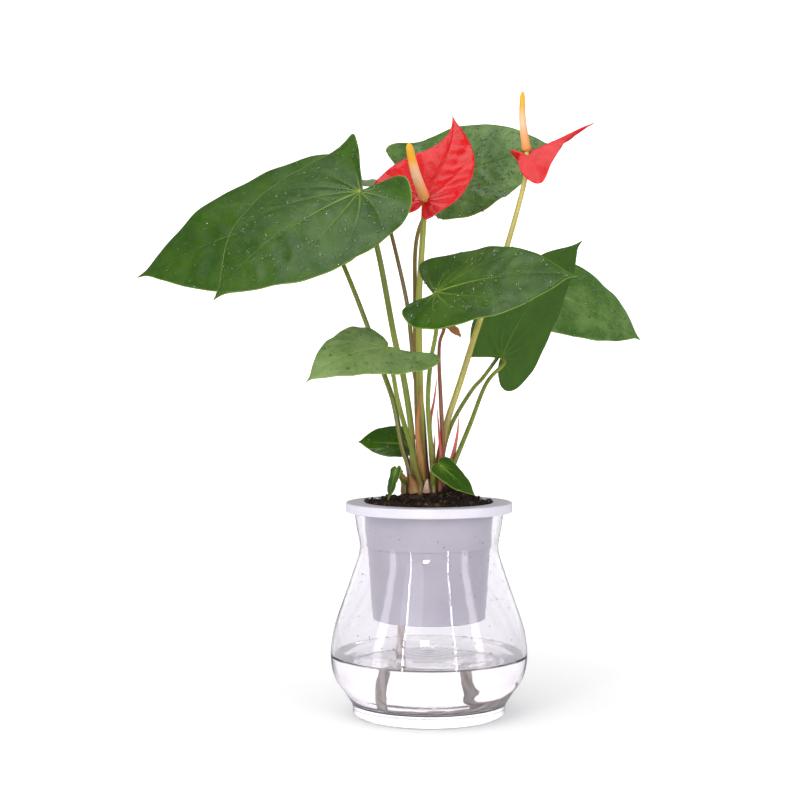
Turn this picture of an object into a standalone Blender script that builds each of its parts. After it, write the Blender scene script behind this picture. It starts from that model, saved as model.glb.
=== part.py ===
"""A red anthurium in a self-watering vase: a glass vase, a white insert pot with soil, water, a cotton wick
and the plant. Metres, +Z up. The origin is on the vase's axis, on the surface that it stands on."""

import math

import bmesh
import bpy
import numpy as np

TOUCH_GAP = 0.0003  # between pieces that touch

# Vase: radii and heights of its outer face
VASE_HEIGHT = 0.1305
VASE_MOUTH_RADIUS = 0.0475
VASE_NECK_RADIUS = 0.0437
VASE_NECK_Z = 0.1040
VASE_BELLY_RADIUS = 0.0620
VASE_BELLY_Z = 0.0350
VASE_FOOT_RADIUS = 0.0482
VASE_FOOT_HEIGHT = 0.0070
VASE_WALL = 0.0022
VASE_FLOOR = 0.0080  # thickness of the solid glass bottom
VASE_EDGE = 0.0012  # rounding of the foot, and how far below the mouth the outer face begins
MOUTH_ROUNDING = 0.0004
FOOT_TOP_SHARE = 0.6  # of the foot's height, where its side turns straight down
# The outer face's points between belly and neck, and between foot and belly: the share of the way up, and the
# share of the gain in radius from the neck or the foot to the belly
VASE_SHOULDER = ((0.75, 0.27), (0.50, 0.60), (0.25, 0.90))
VASE_UNDERSIDE = ((0.55, 0.80), (0.27, 0.40), (0.00, 0.05))
FLOOR_BEND_HEIGHT = 0.0040  # above the floor, where the inner wall starts to turn in
FLOOR_BEND = ((0.0020, 0.0016), (0.0055, 0.0000))  # inwards from there, and height above the floor

# Insert pot: it hangs by its flange on the vase's mouth
NECK_CLEARANCE = 0.0005
LIP_CLEARANCE = 0.0030
LIP_THICKNESS = 0.0020
LIP_DROP = 0.0038  # how far the lip hangs outside the mouth
FLANGE_THICKNESS = 0.0022
INSERT_WALL = 0.0015
INSERT_FLOOR = 0.0020
INSERT_TAPER = 0.0055
INSERT_DEPTH = 0.0735
FLANGE_ROUNDING = 0.0009
WICK_HOLE_CLEARANCE = 0.0009

WATER_DEPTH = 0.0300
SOIL_MOUND = 0.0080  # how far the soil's middle stands above the rim
SOIL_MOUND_RADIUS = 0.0300
SOIL_EDGE_DROP = 0.0025  # how far the soil's edge lies below the rim
SOIL_SLOPE = ((0.65, 0.88), (0.95, 0.35))  # share of the mound's radius, and of its height

CROWN_HALF_WIDTH = 0.0215
CROWN_HALF_DEPTH = 0.0170
CROWN_HALF_HEIGHT = 0.0120
CROWN_FLAT_SHARE = 0.35  # of the half height, where its top is cut flat
CROWN_PROUD = 0.0010  # how far the crown's flat top stands above the soil

BLADE_THICKNESS = 0.0006
SPATHE_THICKNESS = 0.0009
STEM_END_GAP = 0.0017  # from a stem's end to the blade that it carries
STEM_UPRIGHT = 0.0030  # height over which a stem leaves the crown upright
SHEATH_UPRIGHT = 0.0015
FOLD_SOFTNESS = 0.03  # of a blade's width, rounding its fold
SPADIX_END = (0.85, 0.35)  # shares of the radius at its last two points

WICK_DIAMETER = 0.0054
# The wick's own route: from the hole in the insert's floor into the water, round along the front of the
# vase's floor and up again at the right
WICK_POINTS = (
    (-0.0168, 0.0000, 0.0612),
    (-0.0168, 0.0000, 0.0560),
    (-0.0170, 0.0000, 0.0495),
    (-0.0176, 0.0000, 0.0430),
    (-0.0190, -0.0002, 0.0360),
    (-0.0210, -0.0008, 0.0290),
    (-0.0226, -0.0025, 0.0225),
    (-0.0232, -0.0065, 0.0165),
    (-0.0220, -0.0135, 0.0125),
    (-0.0175, -0.0210, 0.0114),
    (-0.0090, -0.0265, 0.0112),
    (0.0020, -0.0290, 0.0112),
    (0.0140, -0.0285, 0.0113),
    (0.0255, -0.0245, 0.0117),
    (0.0350, -0.0180, 0.0136),
    (0.0415, -0.0085, 0.0175),
    (0.0430, 0.0025, 0.0215),
    (0.0380, 0.0115, 0.0205),
    (0.0290, 0.0135, 0.0180),
    (0.0215, 0.0085, 0.0185),
    (0.0182, -0.0005, 0.0230),
    (0.0180, -0.0085, 0.0305),
)

TURN_STEPS = 40  # sides of the turned pieces
SOIL_STEPS = 32
HOLE_STEPS = 16
CROWN_STEPS = 20  # sides, and twice its rings
WICK_STEPS = 25  # points along the wick
VASE_STEPS = 15  # points down the vase's outer face
HALF_STEPS = 15  # points along one half of a blade's outline
INNER_RING = 0.55  # share of the outline at which a blade has its inner ring of points
STEM_STEPS = 12
SPADIX_STEPS = 9
SHEATH_STEPS = 7
CURVE_SAMPLES = 12  # for each given point, before a curve's points are spread evenly
ROUND_RESOLUTION = 2  # bevel resolution of the wick and of the spadices
STEM_RESOLUTION = 1
TUNNEL_RESOLUTION = 4
TUNNEL_SIDES = 12

LEAF_GREEN = (0.06, 0.16, 0.03)
LEAF_COLOURS = {
    "leaf_middle_left": (0.12, 0.20, 0.06),
    "leaf_low_left": (0.05, 0.14, 0.01),
    "leaf_behind_flower": (0.12, 0.20, 0.06),
    "leaf_lower_right": (0.03, 0.10, 0.01),
    "leaf_young_bronze": (0.20, 0.10, 0.02),
}
STEM_GREEN = (0.22, 0.25, 0.04)
STEM_BROWN = (0.16, 0.09, 0.04)
BROWN_STEMS = ("petiole_behind_flower", "petiole_upper_back", "petiole_young")

INSERT_TOP_RADIUS = VASE_NECK_RADIUS - VASE_WALL - NECK_CLEARANCE
INSERT_BOTTOM_RADIUS = INSERT_TOP_RADIUS - INSERT_TAPER
RIM_TOP = VASE_HEIGHT + TOUCH_GAP + FLANGE_THICKNESS
INSERT_BOTTOM = RIM_TOP - INSERT_DEPTH
WATER_TOP = VASE_FLOOR + TOUCH_GAP + WATER_DEPTH
CROWN_TOP = RIM_TOP + SOIL_MOUND + CROWN_PROUD

# One half of a blade, from its tip to the notch where its stem joins it: the share of the length, or of the
# lobe behind the joint where it is negative, the share of the half width for each kind of half, and how far
# outwards the point moves when the notch opens fully
# even heart, widest nearer the tip, drawn in towards the tip, full round lobe, tapering back to a narrow lobe
HEART, FORWARD, WAISTED, LOBED, TAPERED = 0, 1, 2, 3, 4
HALF_OUTLINES = (
    (1.00, (0.000, 0.000, 0.000, 0.000, 0.000), 0.00),
    (0.94, (0.050, 0.080, 0.015, 0.050, 0.100), 0.00),
    (0.86, (0.230, 0.300, 0.040, 0.230, 0.340), 0.00),
    (0.74, (0.480, 0.570, 0.110, 0.480, 0.640), 0.00),
    (0.58, (0.710, 0.800, 0.300, 0.710, 0.880), 0.00),
    (0.38, (0.880, 0.950, 0.620, 0.880, 1.000), 0.00),
    (0.15, (0.985, 0.940, 0.930, 0.990, 0.900), 0.00),
    (-0.30, (0.960, 0.760, 1.030, 1.030, 0.600), 0.00),
    (-0.78, (0.780, 0.570, 0.850, 0.950, 0.420), 0.12),
    (-1.00, (0.470, 0.350, 0.500, 0.680, 0.270), 0.40),
    (-0.88, (0.220, 0.180, 0.240, 0.340, 0.130), 0.50),
    (-0.50, (0.055, 0.050, 0.055, 0.090, 0.040), 0.34),
    (-0.12, (0.000, 0.000, 0.000, 0.000, 0.000), 0.00),
)


class Blade:
    """A leaf blade or a spathe. joint is where its stem meets it, as x, y and the height above the rim. Its
    midrib leaves the joint at heading, seen from above from +X towards +Y, and rises by pitch; roll turns it
    about the midrib, right side down. The sizes are in metres and the bends are shares of the length."""

    def __init__(self, name, joint, heading, pitch, roll, length, width, lobe, **bends):
        self.name = name
        self.joint = np.array([joint[0], joint[1], joint[2] + RIM_TOP])
        self.length, self.width, self.lobe = length, width, lobe
        self.arch = bends.get("arch", 0.0)  # the midrib's rise between joint and tip
        self.cup = bends.get("cup", 0.0)  # fall of the sides, as the square of the distance
        self.twist = bends.get("twist", 0.0)
        self.sway = bends.get("sway", 0.0)  # sideways bend of the tip
        self.droop = bends.get("droop", 0.0)  # fall of the tip
        # The rest are pairs, for the right half and the left half
        self.fold = bends.get("fold", (0.0, 0.0))  # slope up from the midrib
        self.tip_fold = bends.get("tip_fold", self.fold)  # the same, at the tip
        self.lift = bends.get("lift", (0.0, 0.0))  # rise of the lobe's end
        self.kinds = bends.get("kinds", (HEART, HEART))
        self.widths = bends.get("widths", (1.0, 1.0))
        self.lobes = bends.get("lobes", (1.0, 1.0))
        self.opening = bends.get("opening", (0.0, 0.0))  # how far the notch opens
        turn, rise, lean = (math.radians(angle) for angle in (heading, pitch, roll))
        self.along = np.array(
            [math.cos(rise) * math.cos(turn), math.cos(rise) * math.sin(turn), math.sin(rise)]
        )
        level = np.array([math.sin(turn), -math.cos(turn), 0.0])
        up = np.cross(level, self.along)
        self.side = level * math.cos(lean) - up * math.sin(lean)
        self.normal = np.cross(self.side, self.along)

    def half_outline(self, side, count):
        points = []
        for share, across, outwards in HALF_OUTLINES:
            u = share * (self.length if share > 0 else self.lobe * self.lobes[side])
            across = (across[self.kinds[side]] + outwards * self.opening[side]) * self.widths[side]
            points.append((u, across * self.width / 2))
        points = smooth_curve(points, count)
        return np.stack([points[:, 0], np.maximum(points[:, 1], 0.0)], axis=1)

    def outline(self, count):
        """The closed outline, down the right half and back up the left one, as u along and v across."""
        return np.concatenate([self.half_outline(0, count), self.half_outline(1, count)[-2:0:-1] * (1, -1)])

    def bent(self, u, v):
        """World points of the flat blade's points u, v."""
        share = u / self.length
        reach = np.maximum(share, 0.0)
        across = v / (self.width / 2)
        back = np.maximum(-u, 0.0) / self.lobe
        right = v >= 0
        soft = self.width * FOLD_SOFTNESS
        fold = np.where(right, *self.fold) * (1 - reach) + np.where(right, *self.tip_fold) * reach
        height = fold * (np.sqrt(v**2 + soft**2) - soft)
        rise = self.arch * (4 * share - 4 * reach**2) - self.droop * reach**4 - self.cup * across**2
        height = height + self.length * (rise + np.where(right, *self.lift) * back**2)
        height = height + self.twist * v * share
        v = v + self.sway * self.length * reach**4
        return (
            self.joint
            + np.multiply.outer(u, self.along)
            + np.multiply.outer(v, self.side)
            + np.multiply.outer(height, self.normal)
        )


# x and y of each joint, and its height above the rim, then heading, pitch, roll, length, width and lobe
BLADES = (
    Blade("leaf_front_left", (-0.0427, -0.0300, 0.1918), -162, -35, -38, 0.1130, 0.0940, 0.0270,
          arch=0.07, cup=0.03, opening=(0.8, 0.1), lift=(0.17, 0.13), widths=(1.08, 1.10), sway=-0.05,
          kinds=(HEART, FORWARD), lobes=(0.95, 0.9)),
    Blade("leaf_back_left", (-0.0747, 0.0300, 0.1896), 173, -21, -54, 0.1280, 0.1040, 0.0320,
          arch=0.03, cup=0.02, widths=(0.92, 1.08)),
    Blade("leaf_upper_back", (0.0053, 0.0550, 0.2055), -14, 17, 65, 0.0830, 0.0780, 0.0270,
          arch=0.05, cup=0.02, opening=(0.2, 0.4), lift=(0.0, 0.22), kinds=(FORWARD, LOBED),
          widths=(0.86, 1.03), lobes=(0.3, 1.0)),
    Blade("leaf_middle_right", (0.0042, -0.0450, 0.1300), -21, 5, 43, 0.0885, 0.0770, 0.0180,
          arch=0.07, opening=(0.15, 0.6), lift=(0.06, 0.04), kinds=(FORWARD, LOBED), widths=(1.05, 0.88)),
    Blade("leaf_lower_right", (0.0475, 0.0450, 0.0916), -29, 52, -17, 0.0943, 0.0740, 0.0200,
          arch=0.07, lobes=(0.3, 1.0), opening=(0.9, 0.1), widths=(1.12, 1.0), kinds=(FORWARD, HEART)),
    Blade("leaf_middle_left", (-0.0254, -0.0430, 0.0965), -150, -16, -33, 0.0563, 0.0560, 0.0170,
          arch=0.08, droop=0.12, opening=(0.2, 0.5), widths=(0.90, 1.0), lobes=(0.35, 1.3), lift=(0.0, 0.09),
          kinds=(HEART, LOBED)),
    Blade("leaf_far_right", (0.0772, 0.1000, 0.1399), 14, -26, 57, 0.0827, 0.0650, 0.0180,
          arch=0.05, cup=0.02, widths=(1.0, 1.08), kinds=(HEART, FORWARD)),
    Blade("leaf_low_left", (-0.0128, 0.0120, 0.0359), 178, 2, -62, 0.0332, 0.0225, 0.0040,
          cup=0.05, widths=(1.25, 0.85), kinds=(FORWARD, FORWARD)),
    Blade("leaf_soil_left", (-0.0205, -0.0150, 0.0208), -128, -67, 15, 0.0200, 0.0110, 0.0030),
    Blade("leaf_soil_right", (0.0074, -0.0180, 0.0238), -12, -40, 41, 0.0290, 0.0180, 0.0040),
    Blade("leaf_behind_flower", (-0.0307, 0.0150, 0.2010), 100, 12, 0, 0.0450, 0.0300, 0.0080),
    Blade("leaf_young_bronze", (0.0094, -0.0060, 0.1135), 50, -30, 10, 0.0200, 0.0150, 0.0040),
)
SPATHES = (
    Blade("spathe_front", (-0.0025, -0.0120, 0.1889), 38, 57, 43, 0.0620, 0.0600, 0.0150,
          arch=0.03, sway=-0.17, widths=(0.70, 1.1), kinds=(TAPERED, WAISTED), lobes=(0.8, 1.0)),
    Blade("spathe_right", (0.0614, 0.0050, 0.2200), 4, 24, 0, 0.0470, 0.0230, 0.0100,
          fold=(-1.9, -0.6), tip_fold=(0.1, -0.4), lift=(0.0, 0.3), kinds=(WAISTED, HEART), lobes=(0.9, 0.8)),
)


class Stem:
    """A petiole or a peduncle, from its foot on the crown through the route's points to its blade."""

    def __init__(self, name, carries, foot, route, foot_radius, end_radius):
        self.name, self.carries, self.foot = name, carries, foot
        self.route = [(x, y, z + RIM_TOP) for x, y, z in route]
        self.foot_radius, self.end_radius = foot_radius, end_radius


STEMS = (
    Stem("petiole_back_left", "leaf_back_left", (-0.0114, 0.0040), (
        (-0.0133, 0.0050, 0.0236), (-0.0165, 0.0060, 0.0330), (-0.0229, 0.0100, 0.0640),
        (-0.0287, 0.0130, 0.0805), (-0.0404, 0.0180, 0.1139), (-0.0555, 0.0240, 0.1515)), 0.0019, 0.0014),
    Stem("petiole_front_left", "leaf_front_left", (-0.0082, -0.0020), (
        (-0.0094, -0.0030, 0.0203), (-0.0113, -0.0060, 0.0481), (-0.0162, -0.0110, 0.0806),
        (-0.0211, -0.0150, 0.1017), (-0.0319, -0.0240, 0.1587)), 0.0021, 0.0017),
    Stem("petiole_middle_left", "leaf_middle_left", (-0.0050, -0.0100), (
        (-0.0075, -0.0120, 0.0197), (-0.0106, -0.0150, 0.0341), (-0.0149, -0.0200, 0.0485),
        (-0.0191, -0.0270, 0.0647), (-0.0221, -0.0345, 0.0819)), 0.0018, 0.0013),
    Stem("petiole_behind_flower", "leaf_behind_flower", (0.0000, 0.0070), (
        (-0.0013, 0.0070, 0.0196), (-0.0050, 0.0080, 0.0640), (-0.0089, 0.0090, 0.0799),
        (-0.0115, 0.0100, 0.1047), (-0.0140, 0.0110, 0.1258), (-0.0243, 0.0130, 0.1712)), 0.0017, 0.0012),
    Stem("petiole_upper_back", "leaf_upper_back", (-0.0057, 0.0090), (
        (-0.0070, 0.0120, 0.0385), (-0.0083, 0.0200, 0.0767), (-0.0091, 0.0370, 0.1284),
        (-0.0072, 0.0560, 0.1749)), 0.0017, 0.0013),
    Stem("petiole_middle_right", "leaf_middle_right", (0.0025, -0.0080), (
        (0.0025, -0.0090, 0.0245), (0.0006, -0.0120, 0.0433), (-0.0006, -0.0170, 0.0645),
        (0.0012, -0.0270, 0.0887), (0.0046, -0.0380, 0.1083)), 0.0017, 0.0013),
    Stem("petiole_young", "leaf_young_bronze", (0.0081, -0.0060), (
        (0.0088, -0.0060, 0.0337), (0.0075, -0.0060, 0.0625), (0.0063, -0.0060, 0.0919),
        (0.0069, -0.0060, 0.1013), (0.0094, -0.0060, 0.1094)), 0.0017, 0.0010),
    Stem("petiole_lower_right", "leaf_lower_right", (0.0120, 0.0010), (
        (0.0133, 0.0020, 0.0174), (0.0171, 0.0040, 0.0268), (0.0262, 0.0140, 0.0480),
        (0.0380, 0.0310, 0.0756)), 0.0017, 0.0012),
    Stem("petiole_far_right", "leaf_far_right", (0.0076, 0.0080), (
        (0.0089, 0.0110, 0.0289), (0.0141, 0.0180, 0.0471), (0.0280, 0.0330, 0.0700),
        (0.0365, 0.0480, 0.0790), (0.0590, 0.0780, 0.1105)), 0.0015, 0.0011),
    Stem("petiole_low_left", "leaf_low_left", (-0.0110, 0.0105), (
        (-0.0110, 0.0125, 0.0200), (-0.0115, 0.0145, 0.0300)), 0.0014, 0.0010),
    Stem("petiole_soil_left", "leaf_soil_left", (-0.0150, -0.0050), (
        (-0.0172, -0.0080, 0.0150), (-0.0188, -0.0115, 0.0195)), 0.0012, 0.0008),
    Stem("petiole_soil_right", "leaf_soil_right", (0.0030, -0.0130), (
        (0.0030, -0.0150, 0.0150), (0.0048, -0.0170, 0.0210)), 0.0012, 0.0009),
    Stem("peduncle_front", "spathe_front", (-0.0025, -0.0010), (
        (-0.0044, -0.0010, 0.0328), (-0.0057, -0.0020, 0.0768), (-0.0063, -0.0040, 0.1082),
        (-0.0063, -0.0050, 0.1270), (-0.0044, -0.0080, 0.1581)), 0.0024, 0.0018),
    Stem("peduncle_right", "spathe_right", (0.0050, 0.0010), (
        (0.0063, 0.0010, 0.0263), (0.0114, 0.0010, 0.0497), (0.0202, 0.0020, 0.0768),
        (0.0316, 0.0020, 0.1128), (0.0493, 0.0030, 0.1615)), 0.0022, 0.0016),
)


# The spadices: foot and top, each as x, y and height above the rim, and their radii there
SPADICES = {
    "spadix_front": ((-0.0031, -0.0158, 0.1905), (-0.0121, -0.0410, 0.2190), 0.0034, 0.0022),
    "spadix_right": ((0.0614, 0.0050, 0.2228), (0.0589, 0.0050, 0.2580), 0.0029, 0.0015),
}

# Sheaths at the foot of the stems: foot on the crown, route above the rim, foot radius and tip radius
SHEATHS = {
    "sheath_pink": ((0.0035, 0.0055), (
        (0.0006, 0.0050, 0.0483), (0.0032, 0.0040, 0.0641), (0.0051, 0.0030, 0.0787)), 0.0012, 0.0003),
    "sheath_coral": ((0.0085, 0.0045), (
        (0.0146, 0.0065, 0.0273), (0.0178, 0.0080, 0.0419), (0.0191, 0.0090, 0.0552)), 0.0013, 0.0003),
    "sheath_crimson": ((0.0068, -0.0105), (
        (0.0075, -0.0098, 0.0270), (0.0062, -0.0092, 0.0457), (0.0050, -0.0092, 0.0607)), 0.0012, 0.0003),
    "sheath_tan": ((-0.0035, -0.0057), (
        (-0.0038, -0.0062, 0.0173), (-0.0072, -0.0065, 0.0480), (-0.0044, -0.0060, 0.0750)), 0.0014, 0.0003),
    "sheath_straw": ((0.0045, -0.0045), (
        (0.0036, -0.0042, 0.0200), (0.0031, -0.0040, 0.0294), (0.0038, -0.0036, 0.0437)), 0.0010, 0.0003),
    "sheath_dried_left": ((-0.0135, -0.0010), (
        (-0.0150, -0.0020, 0.0130), (-0.0182, -0.0030, 0.0185), (-0.0208, -0.0040, 0.0209)), 0.0014, 0.0004),
    "sheath_dried_front": ((-0.0085, -0.0078), (
        (-0.0098, -0.0086, 0.0120), (-0.0115, -0.0092, 0.0155), (-0.0131, -0.0096, 0.0185)), 0.0014, 0.0004),
    "new_shoot": ((-0.0015, -0.0138), (
        (-0.0014, -0.0142, 0.0105), (-0.0012, -0.0146, 0.0130), (-0.0010, -0.0148, 0.0155)), 0.0016, 0.0004),
}


def smooth_curve(points, count):
    """count points, evenly spread, along a centripetal Catmull-Rom curve through the given points."""
    knots = np.array(points, float)
    ends = [2 * knots[0] - knots[1], *knots, 2 * knots[-1] - knots[-2]]
    lengths = [math.sqrt(np.linalg.norm(b - a)) for a, b in zip(ends, ends[1:])]
    times = np.concatenate([[0.0], np.cumsum(lengths)])
    fine = []
    for t in np.linspace(times[1], times[-2], CURVE_SAMPLES * len(knots)):
        i = min(max(int(np.searchsorted(times, t, side="right")) - 1, 1), len(knots) - 1)
        near = times[i - 1 : i + 3]
        p = ends[i - 1 : i + 3]
        a = [mixed(p[k], p[k + 1], near[k], near[k + 1], t) for k in range(3)]
        b = [mixed(a[k], a[k + 1], near[k], near[k + 2], t) for k in range(2)]
        fine.append(mixed(b[0], b[1], near[1], near[2], t))
    fine = np.array(fine)
    run = np.concatenate([[0.0], np.cumsum(np.linalg.norm(np.diff(fine, axis=0), axis=1))])
    spread = np.linspace(0.0, run[-1], count)
    return np.stack([np.interp(spread, run, fine[:, k]) for k in range(fine.shape[1])], axis=1)


def mixed(a, b, start, end, t):
    return a + (b - a) * ((t - start) / (end - start))


def material(name, colour, roughness, metallic=0.0):
    made = bpy.data.materials.new(name)
    made.use_nodes = True
    shader = made.node_tree.nodes["Principled BSDF"]
    shader.inputs["Base Color"].default_value = (*colour, 1.0)
    shader.inputs["Roughness"].default_value = roughness
    shader.inputs["Metallic"].default_value = metallic
    return made


def linked(name, data, finish):
    made = bpy.data.objects.new(name, data)
    bpy.context.collection.objects.link(made)
    data.materials.append(finish)
    return made


def turned(name, profile, finish, steps=TURN_STEPS):
    """A solid turned about the Z axis. Its profile, of radius and height, runs down the outer side."""
    mesh = bpy.data.meshes.new(name)
    mesh.from_pydata([(r, 0.0, z) for r, z in profile], [(i, i + 1) for i in range(len(profile) - 1)], [])
    made = linked(name, mesh, finish)
    screw = made.modifiers.new("turn", "SCREW")
    screw.steps = screw.render_steps = steps
    screw.use_merge_vertices = True
    screw.merge_threshold = 0.00001
    screw.use_smooth_shade = True
    return made


def cut(target, cutter):
    """Takes the cutter's shape out of the target."""
    cutter.hide_render = True
    cutter.display_type = "WIRE"
    boolean = target.modifiers.new("cut", "BOOLEAN")
    boolean.operation = "DIFFERENCE"
    boolean.solver = "EXACT"
    boolean.object = cutter


def curve_tube(name, points, radii, finish, resolution):
    """A round tube through the points, closed at both ends."""
    curve = bpy.data.curves.new(name, "CURVE")
    curve.dimensions = "3D"
    curve.bevel_depth = 1.0
    curve.bevel_resolution = resolution
    curve.use_fill_caps = True
    spline = curve.splines.new("POLY")
    spline.points.add(len(points) - 1)
    for point, place, radius in zip(spline.points, points, radii):
        point.co = (*place, 1.0)
        point.radius = radius
    return linked(name, curve, finish)


def vase_outside():
    """The vase's outer profile from the mouth down to the foot, as radius and height."""
    mouth = np.array([VASE_MOUTH_RADIUS, VASE_HEIGHT - VASE_EDGE])
    neck = np.array([VASE_NECK_RADIUS, VASE_NECK_Z])
    belly = np.array([VASE_BELLY_RADIUS, VASE_BELLY_Z])
    foot = np.array([VASE_FOOT_RADIUS, VASE_FOOT_HEIGHT])
    points = [mouth, (mouth + neck) / 2, neck]
    for up, gain in VASE_SHOULDER:
        points.append((neck[0] + gain * (belly[0] - neck[0]), belly[1] + up * (neck[1] - belly[1])))
    points.append(belly)
    for up, gain in VASE_UNDERSIDE:
        points.append((foot[0] + gain * (belly[0] - foot[0]), foot[1] + up * (belly[1] - foot[1])))
    return smooth_curve(points, VASE_STEPS)


def inward(profile, distance):
    """The profile moved towards its inner side."""
    steps = np.gradient(profile, axis=0)
    across = np.stack([steps[:, 1], -steps[:, 0]], axis=1)
    return profile + across / np.linalg.norm(across, axis=1)[:, None] * distance


def vase_inside(clearance=0.0):
    """The vase's inner profile from the mouth down to the floor's middle, moved in by clearance."""
    floor = VASE_FLOOR + clearance
    wall = inward(vase_outside(), VASE_WALL + clearance)
    wall = wall[wall[:, 1] > floor + FLOOR_BEND_HEIGHT]
    bend = [(wall[-1][0] - inwards, floor + height) for inwards, height in FLOOR_BEND]
    return np.concatenate([wall, bend, [(0.0, floor)]])


def make_vase():
    outside = vase_outside()
    inside = vase_inside()[::-1]
    lip = [
        (VASE_MOUTH_RADIUS - VASE_WALL + MOUTH_ROUNDING, VASE_HEIGHT - MOUTH_ROUNDING),
        (VASE_MOUTH_RADIUS - VASE_WALL / 2, VASE_HEIGHT),
        (VASE_MOUTH_RADIUS - MOUTH_ROUNDING, VASE_HEIGHT - MOUTH_ROUNDING),
    ]
    foot = [
        (VASE_FOOT_RADIUS, VASE_FOOT_HEIGHT * FOOT_TOP_SHARE),
        (VASE_FOOT_RADIUS, VASE_EDGE),
        (VASE_FOOT_RADIUS - VASE_EDGE, 0.0),
        (0.0, 0.0),
    ]
    glass = material("glass", (0.90, 0.94, 0.95), 0.02)
    return turned("vase", [*inside, *lip, *outside, *foot], glass)


def make_water():
    clear = material("water", (0.85, 0.92, 0.95), 0.02)
    inside = vase_inside(TOUCH_GAP)
    level = np.interp(WATER_TOP, inside[::-1, 1], inside[::-1, 0])
    below = inside[inside[:, 1] < WATER_TOP - TOUCH_GAP]
    water = turned("water", [(0.0, WATER_TOP), (level, WATER_TOP), *below], clear)
    room = WICK_DIAMETER / 2 / math.cos(math.pi / TUNNEL_SIDES) + TOUCH_GAP
    tunnel = curve_tube("wick_tunnel", wick_route(), [room] * WICK_STEPS, clear, TUNNEL_RESOLUTION)
    bpy.context.view_layer.update()
    solid = bpy.data.meshes.new_from_object(tunnel.evaluated_get(bpy.context.evaluated_depsgraph_get()))
    bpy.data.objects.remove(tunnel)
    cut(water, linked("wick_tunnel", welded(solid), clear))
    return water


def welded(mesh):
    work = bmesh.new()
    work.from_mesh(mesh)
    bmesh.ops.remove_doubles(work, verts=work.verts, dist=0.000001)
    bmesh.ops.recalc_face_normals(work, faces=work.faces)
    work.to_mesh(mesh)
    work.free()
    return mesh


def wick_route():
    return smooth_curve(WICK_POINTS, WICK_STEPS)


def make_wick():
    cotton = material("wick_cotton", (0.62, 0.54, 0.44), 0.9)
    route = wick_route()
    return curve_tube("wick", route, [WICK_DIAMETER / 2] * len(route), cotton, ROUND_RESOLUTION)


def make_insert():
    plastic = material("white_plastic", (0.86, 0.84, 0.88), 0.3)
    flange_radius = VASE_MOUTH_RADIUS + LIP_CLEARANCE + LIP_THICKNESS
    edge = FLANGE_ROUNDING
    under = RIM_TOP - FLANGE_THICKNESS
    profile = [
        (0.0, INSERT_BOTTOM + INSERT_FLOOR),
        (INSERT_BOTTOM_RADIUS - INSERT_WALL, INSERT_BOTTOM + INSERT_FLOOR),
        (INSERT_TOP_RADIUS - INSERT_WALL, RIM_TOP - edge),
        (INSERT_TOP_RADIUS - INSERT_WALL + edge, RIM_TOP),
        (flange_radius - edge, RIM_TOP),
        (flange_radius, RIM_TOP - edge),
        (flange_radius, under - LIP_DROP),
        (flange_radius - LIP_THICKNESS, under - LIP_DROP),
        (flange_radius - LIP_THICKNESS, under),
        (INSERT_TOP_RADIUS, under),
        (INSERT_BOTTOM_RADIUS + edge / 2, INSERT_BOTTOM + edge),
        (INSERT_BOTTOM_RADIUS - edge / 2, INSERT_BOTTOM),
        (0.0, INSERT_BOTTOM),
    ]
    insert = turned("insert_pot", profile, plastic)
    mesh = bpy.data.meshes.new("wick_hole")
    hole = bmesh.new()
    bmesh.ops.create_cone(
        hole,
        cap_ends=True,
        segments=HOLE_STEPS,
        radius1=WICK_DIAMETER / 2 + WICK_HOLE_CLEARANCE,
        radius2=WICK_DIAMETER / 2 + WICK_HOLE_CLEARANCE,
        depth=4 * INSERT_FLOOR,
    )
    hole.to_mesh(mesh)
    hole.free()
    cutter = linked("wick_hole", mesh, plastic)
    cutter.location = (WICK_POINTS[0][0], WICK_POINTS[0][1], INSERT_BOTTOM + INSERT_FLOOR / 2)
    cut(insert, cutter)
    return insert


def crown_mesh(name, clearance):
    """The rootstock's shape: a flattened ball with its top cut flat."""
    work = bmesh.new()
    bmesh.ops.create_uvsphere(work, u_segments=CROWN_STEPS, v_segments=CROWN_STEPS // 2, radius=1.0)
    for vert in work.verts:
        vert.co.x *= CROWN_HALF_WIDTH + clearance
        vert.co.y *= CROWN_HALF_DEPTH + clearance
        vert.co.z *= CROWN_HALF_HEIGHT + clearance
    top = CROWN_HALF_HEIGHT * CROWN_FLAT_SHARE + clearance
    halves = work.verts[:] + work.edges[:] + work.faces[:]
    bmesh.ops.bisect_plane(work, geom=halves, plane_co=(0, 0, top), plane_no=(0, 0, 1), clear_outer=True)
    bmesh.ops.holes_fill(work, edges=[edge for edge in work.edges if edge.is_boundary])
    mesh = bpy.data.meshes.new(name)
    work.to_mesh(mesh)
    work.free()
    return mesh


def place_on_crown(made):
    made.location = (0.0, 0.0, CROWN_TOP - CROWN_HALF_HEIGHT * CROWN_FLAT_SHARE)
    return made


def make_crown():
    bark = material("crown", (0.16, 0.11, 0.05), 0.8)
    return place_on_crown(linked("crown", crown_mesh("crown", 0.0), bark))


def make_soil():
    peat = material("soil", (0.030, 0.018, 0.012), 0.95)
    floor = INSERT_BOTTOM + INSERT_FLOOR + TOUCH_GAP
    wall = INSERT_WALL + TOUCH_GAP
    slope = INSERT_TAPER / INSERT_DEPTH
    profile = [
        (0.0, RIM_TOP + SOIL_MOUND),
        *[(SOIL_MOUND_RADIUS * out, RIM_TOP + SOIL_MOUND * up) for out, up in SOIL_SLOPE],
        (INSERT_TOP_RADIUS - wall - slope * SOIL_EDGE_DROP, RIM_TOP - SOIL_EDGE_DROP),
        (INSERT_BOTTOM_RADIUS - wall, floor),
        (0.0, floor),
    ]
    soil = turned("soil", profile, peat, SOIL_STEPS)
    cutter = linked("crown_socket", crown_mesh("crown_socket", TOUCH_GAP), peat)
    cut(soil, place_on_crown(cutter))
    return soil


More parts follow.
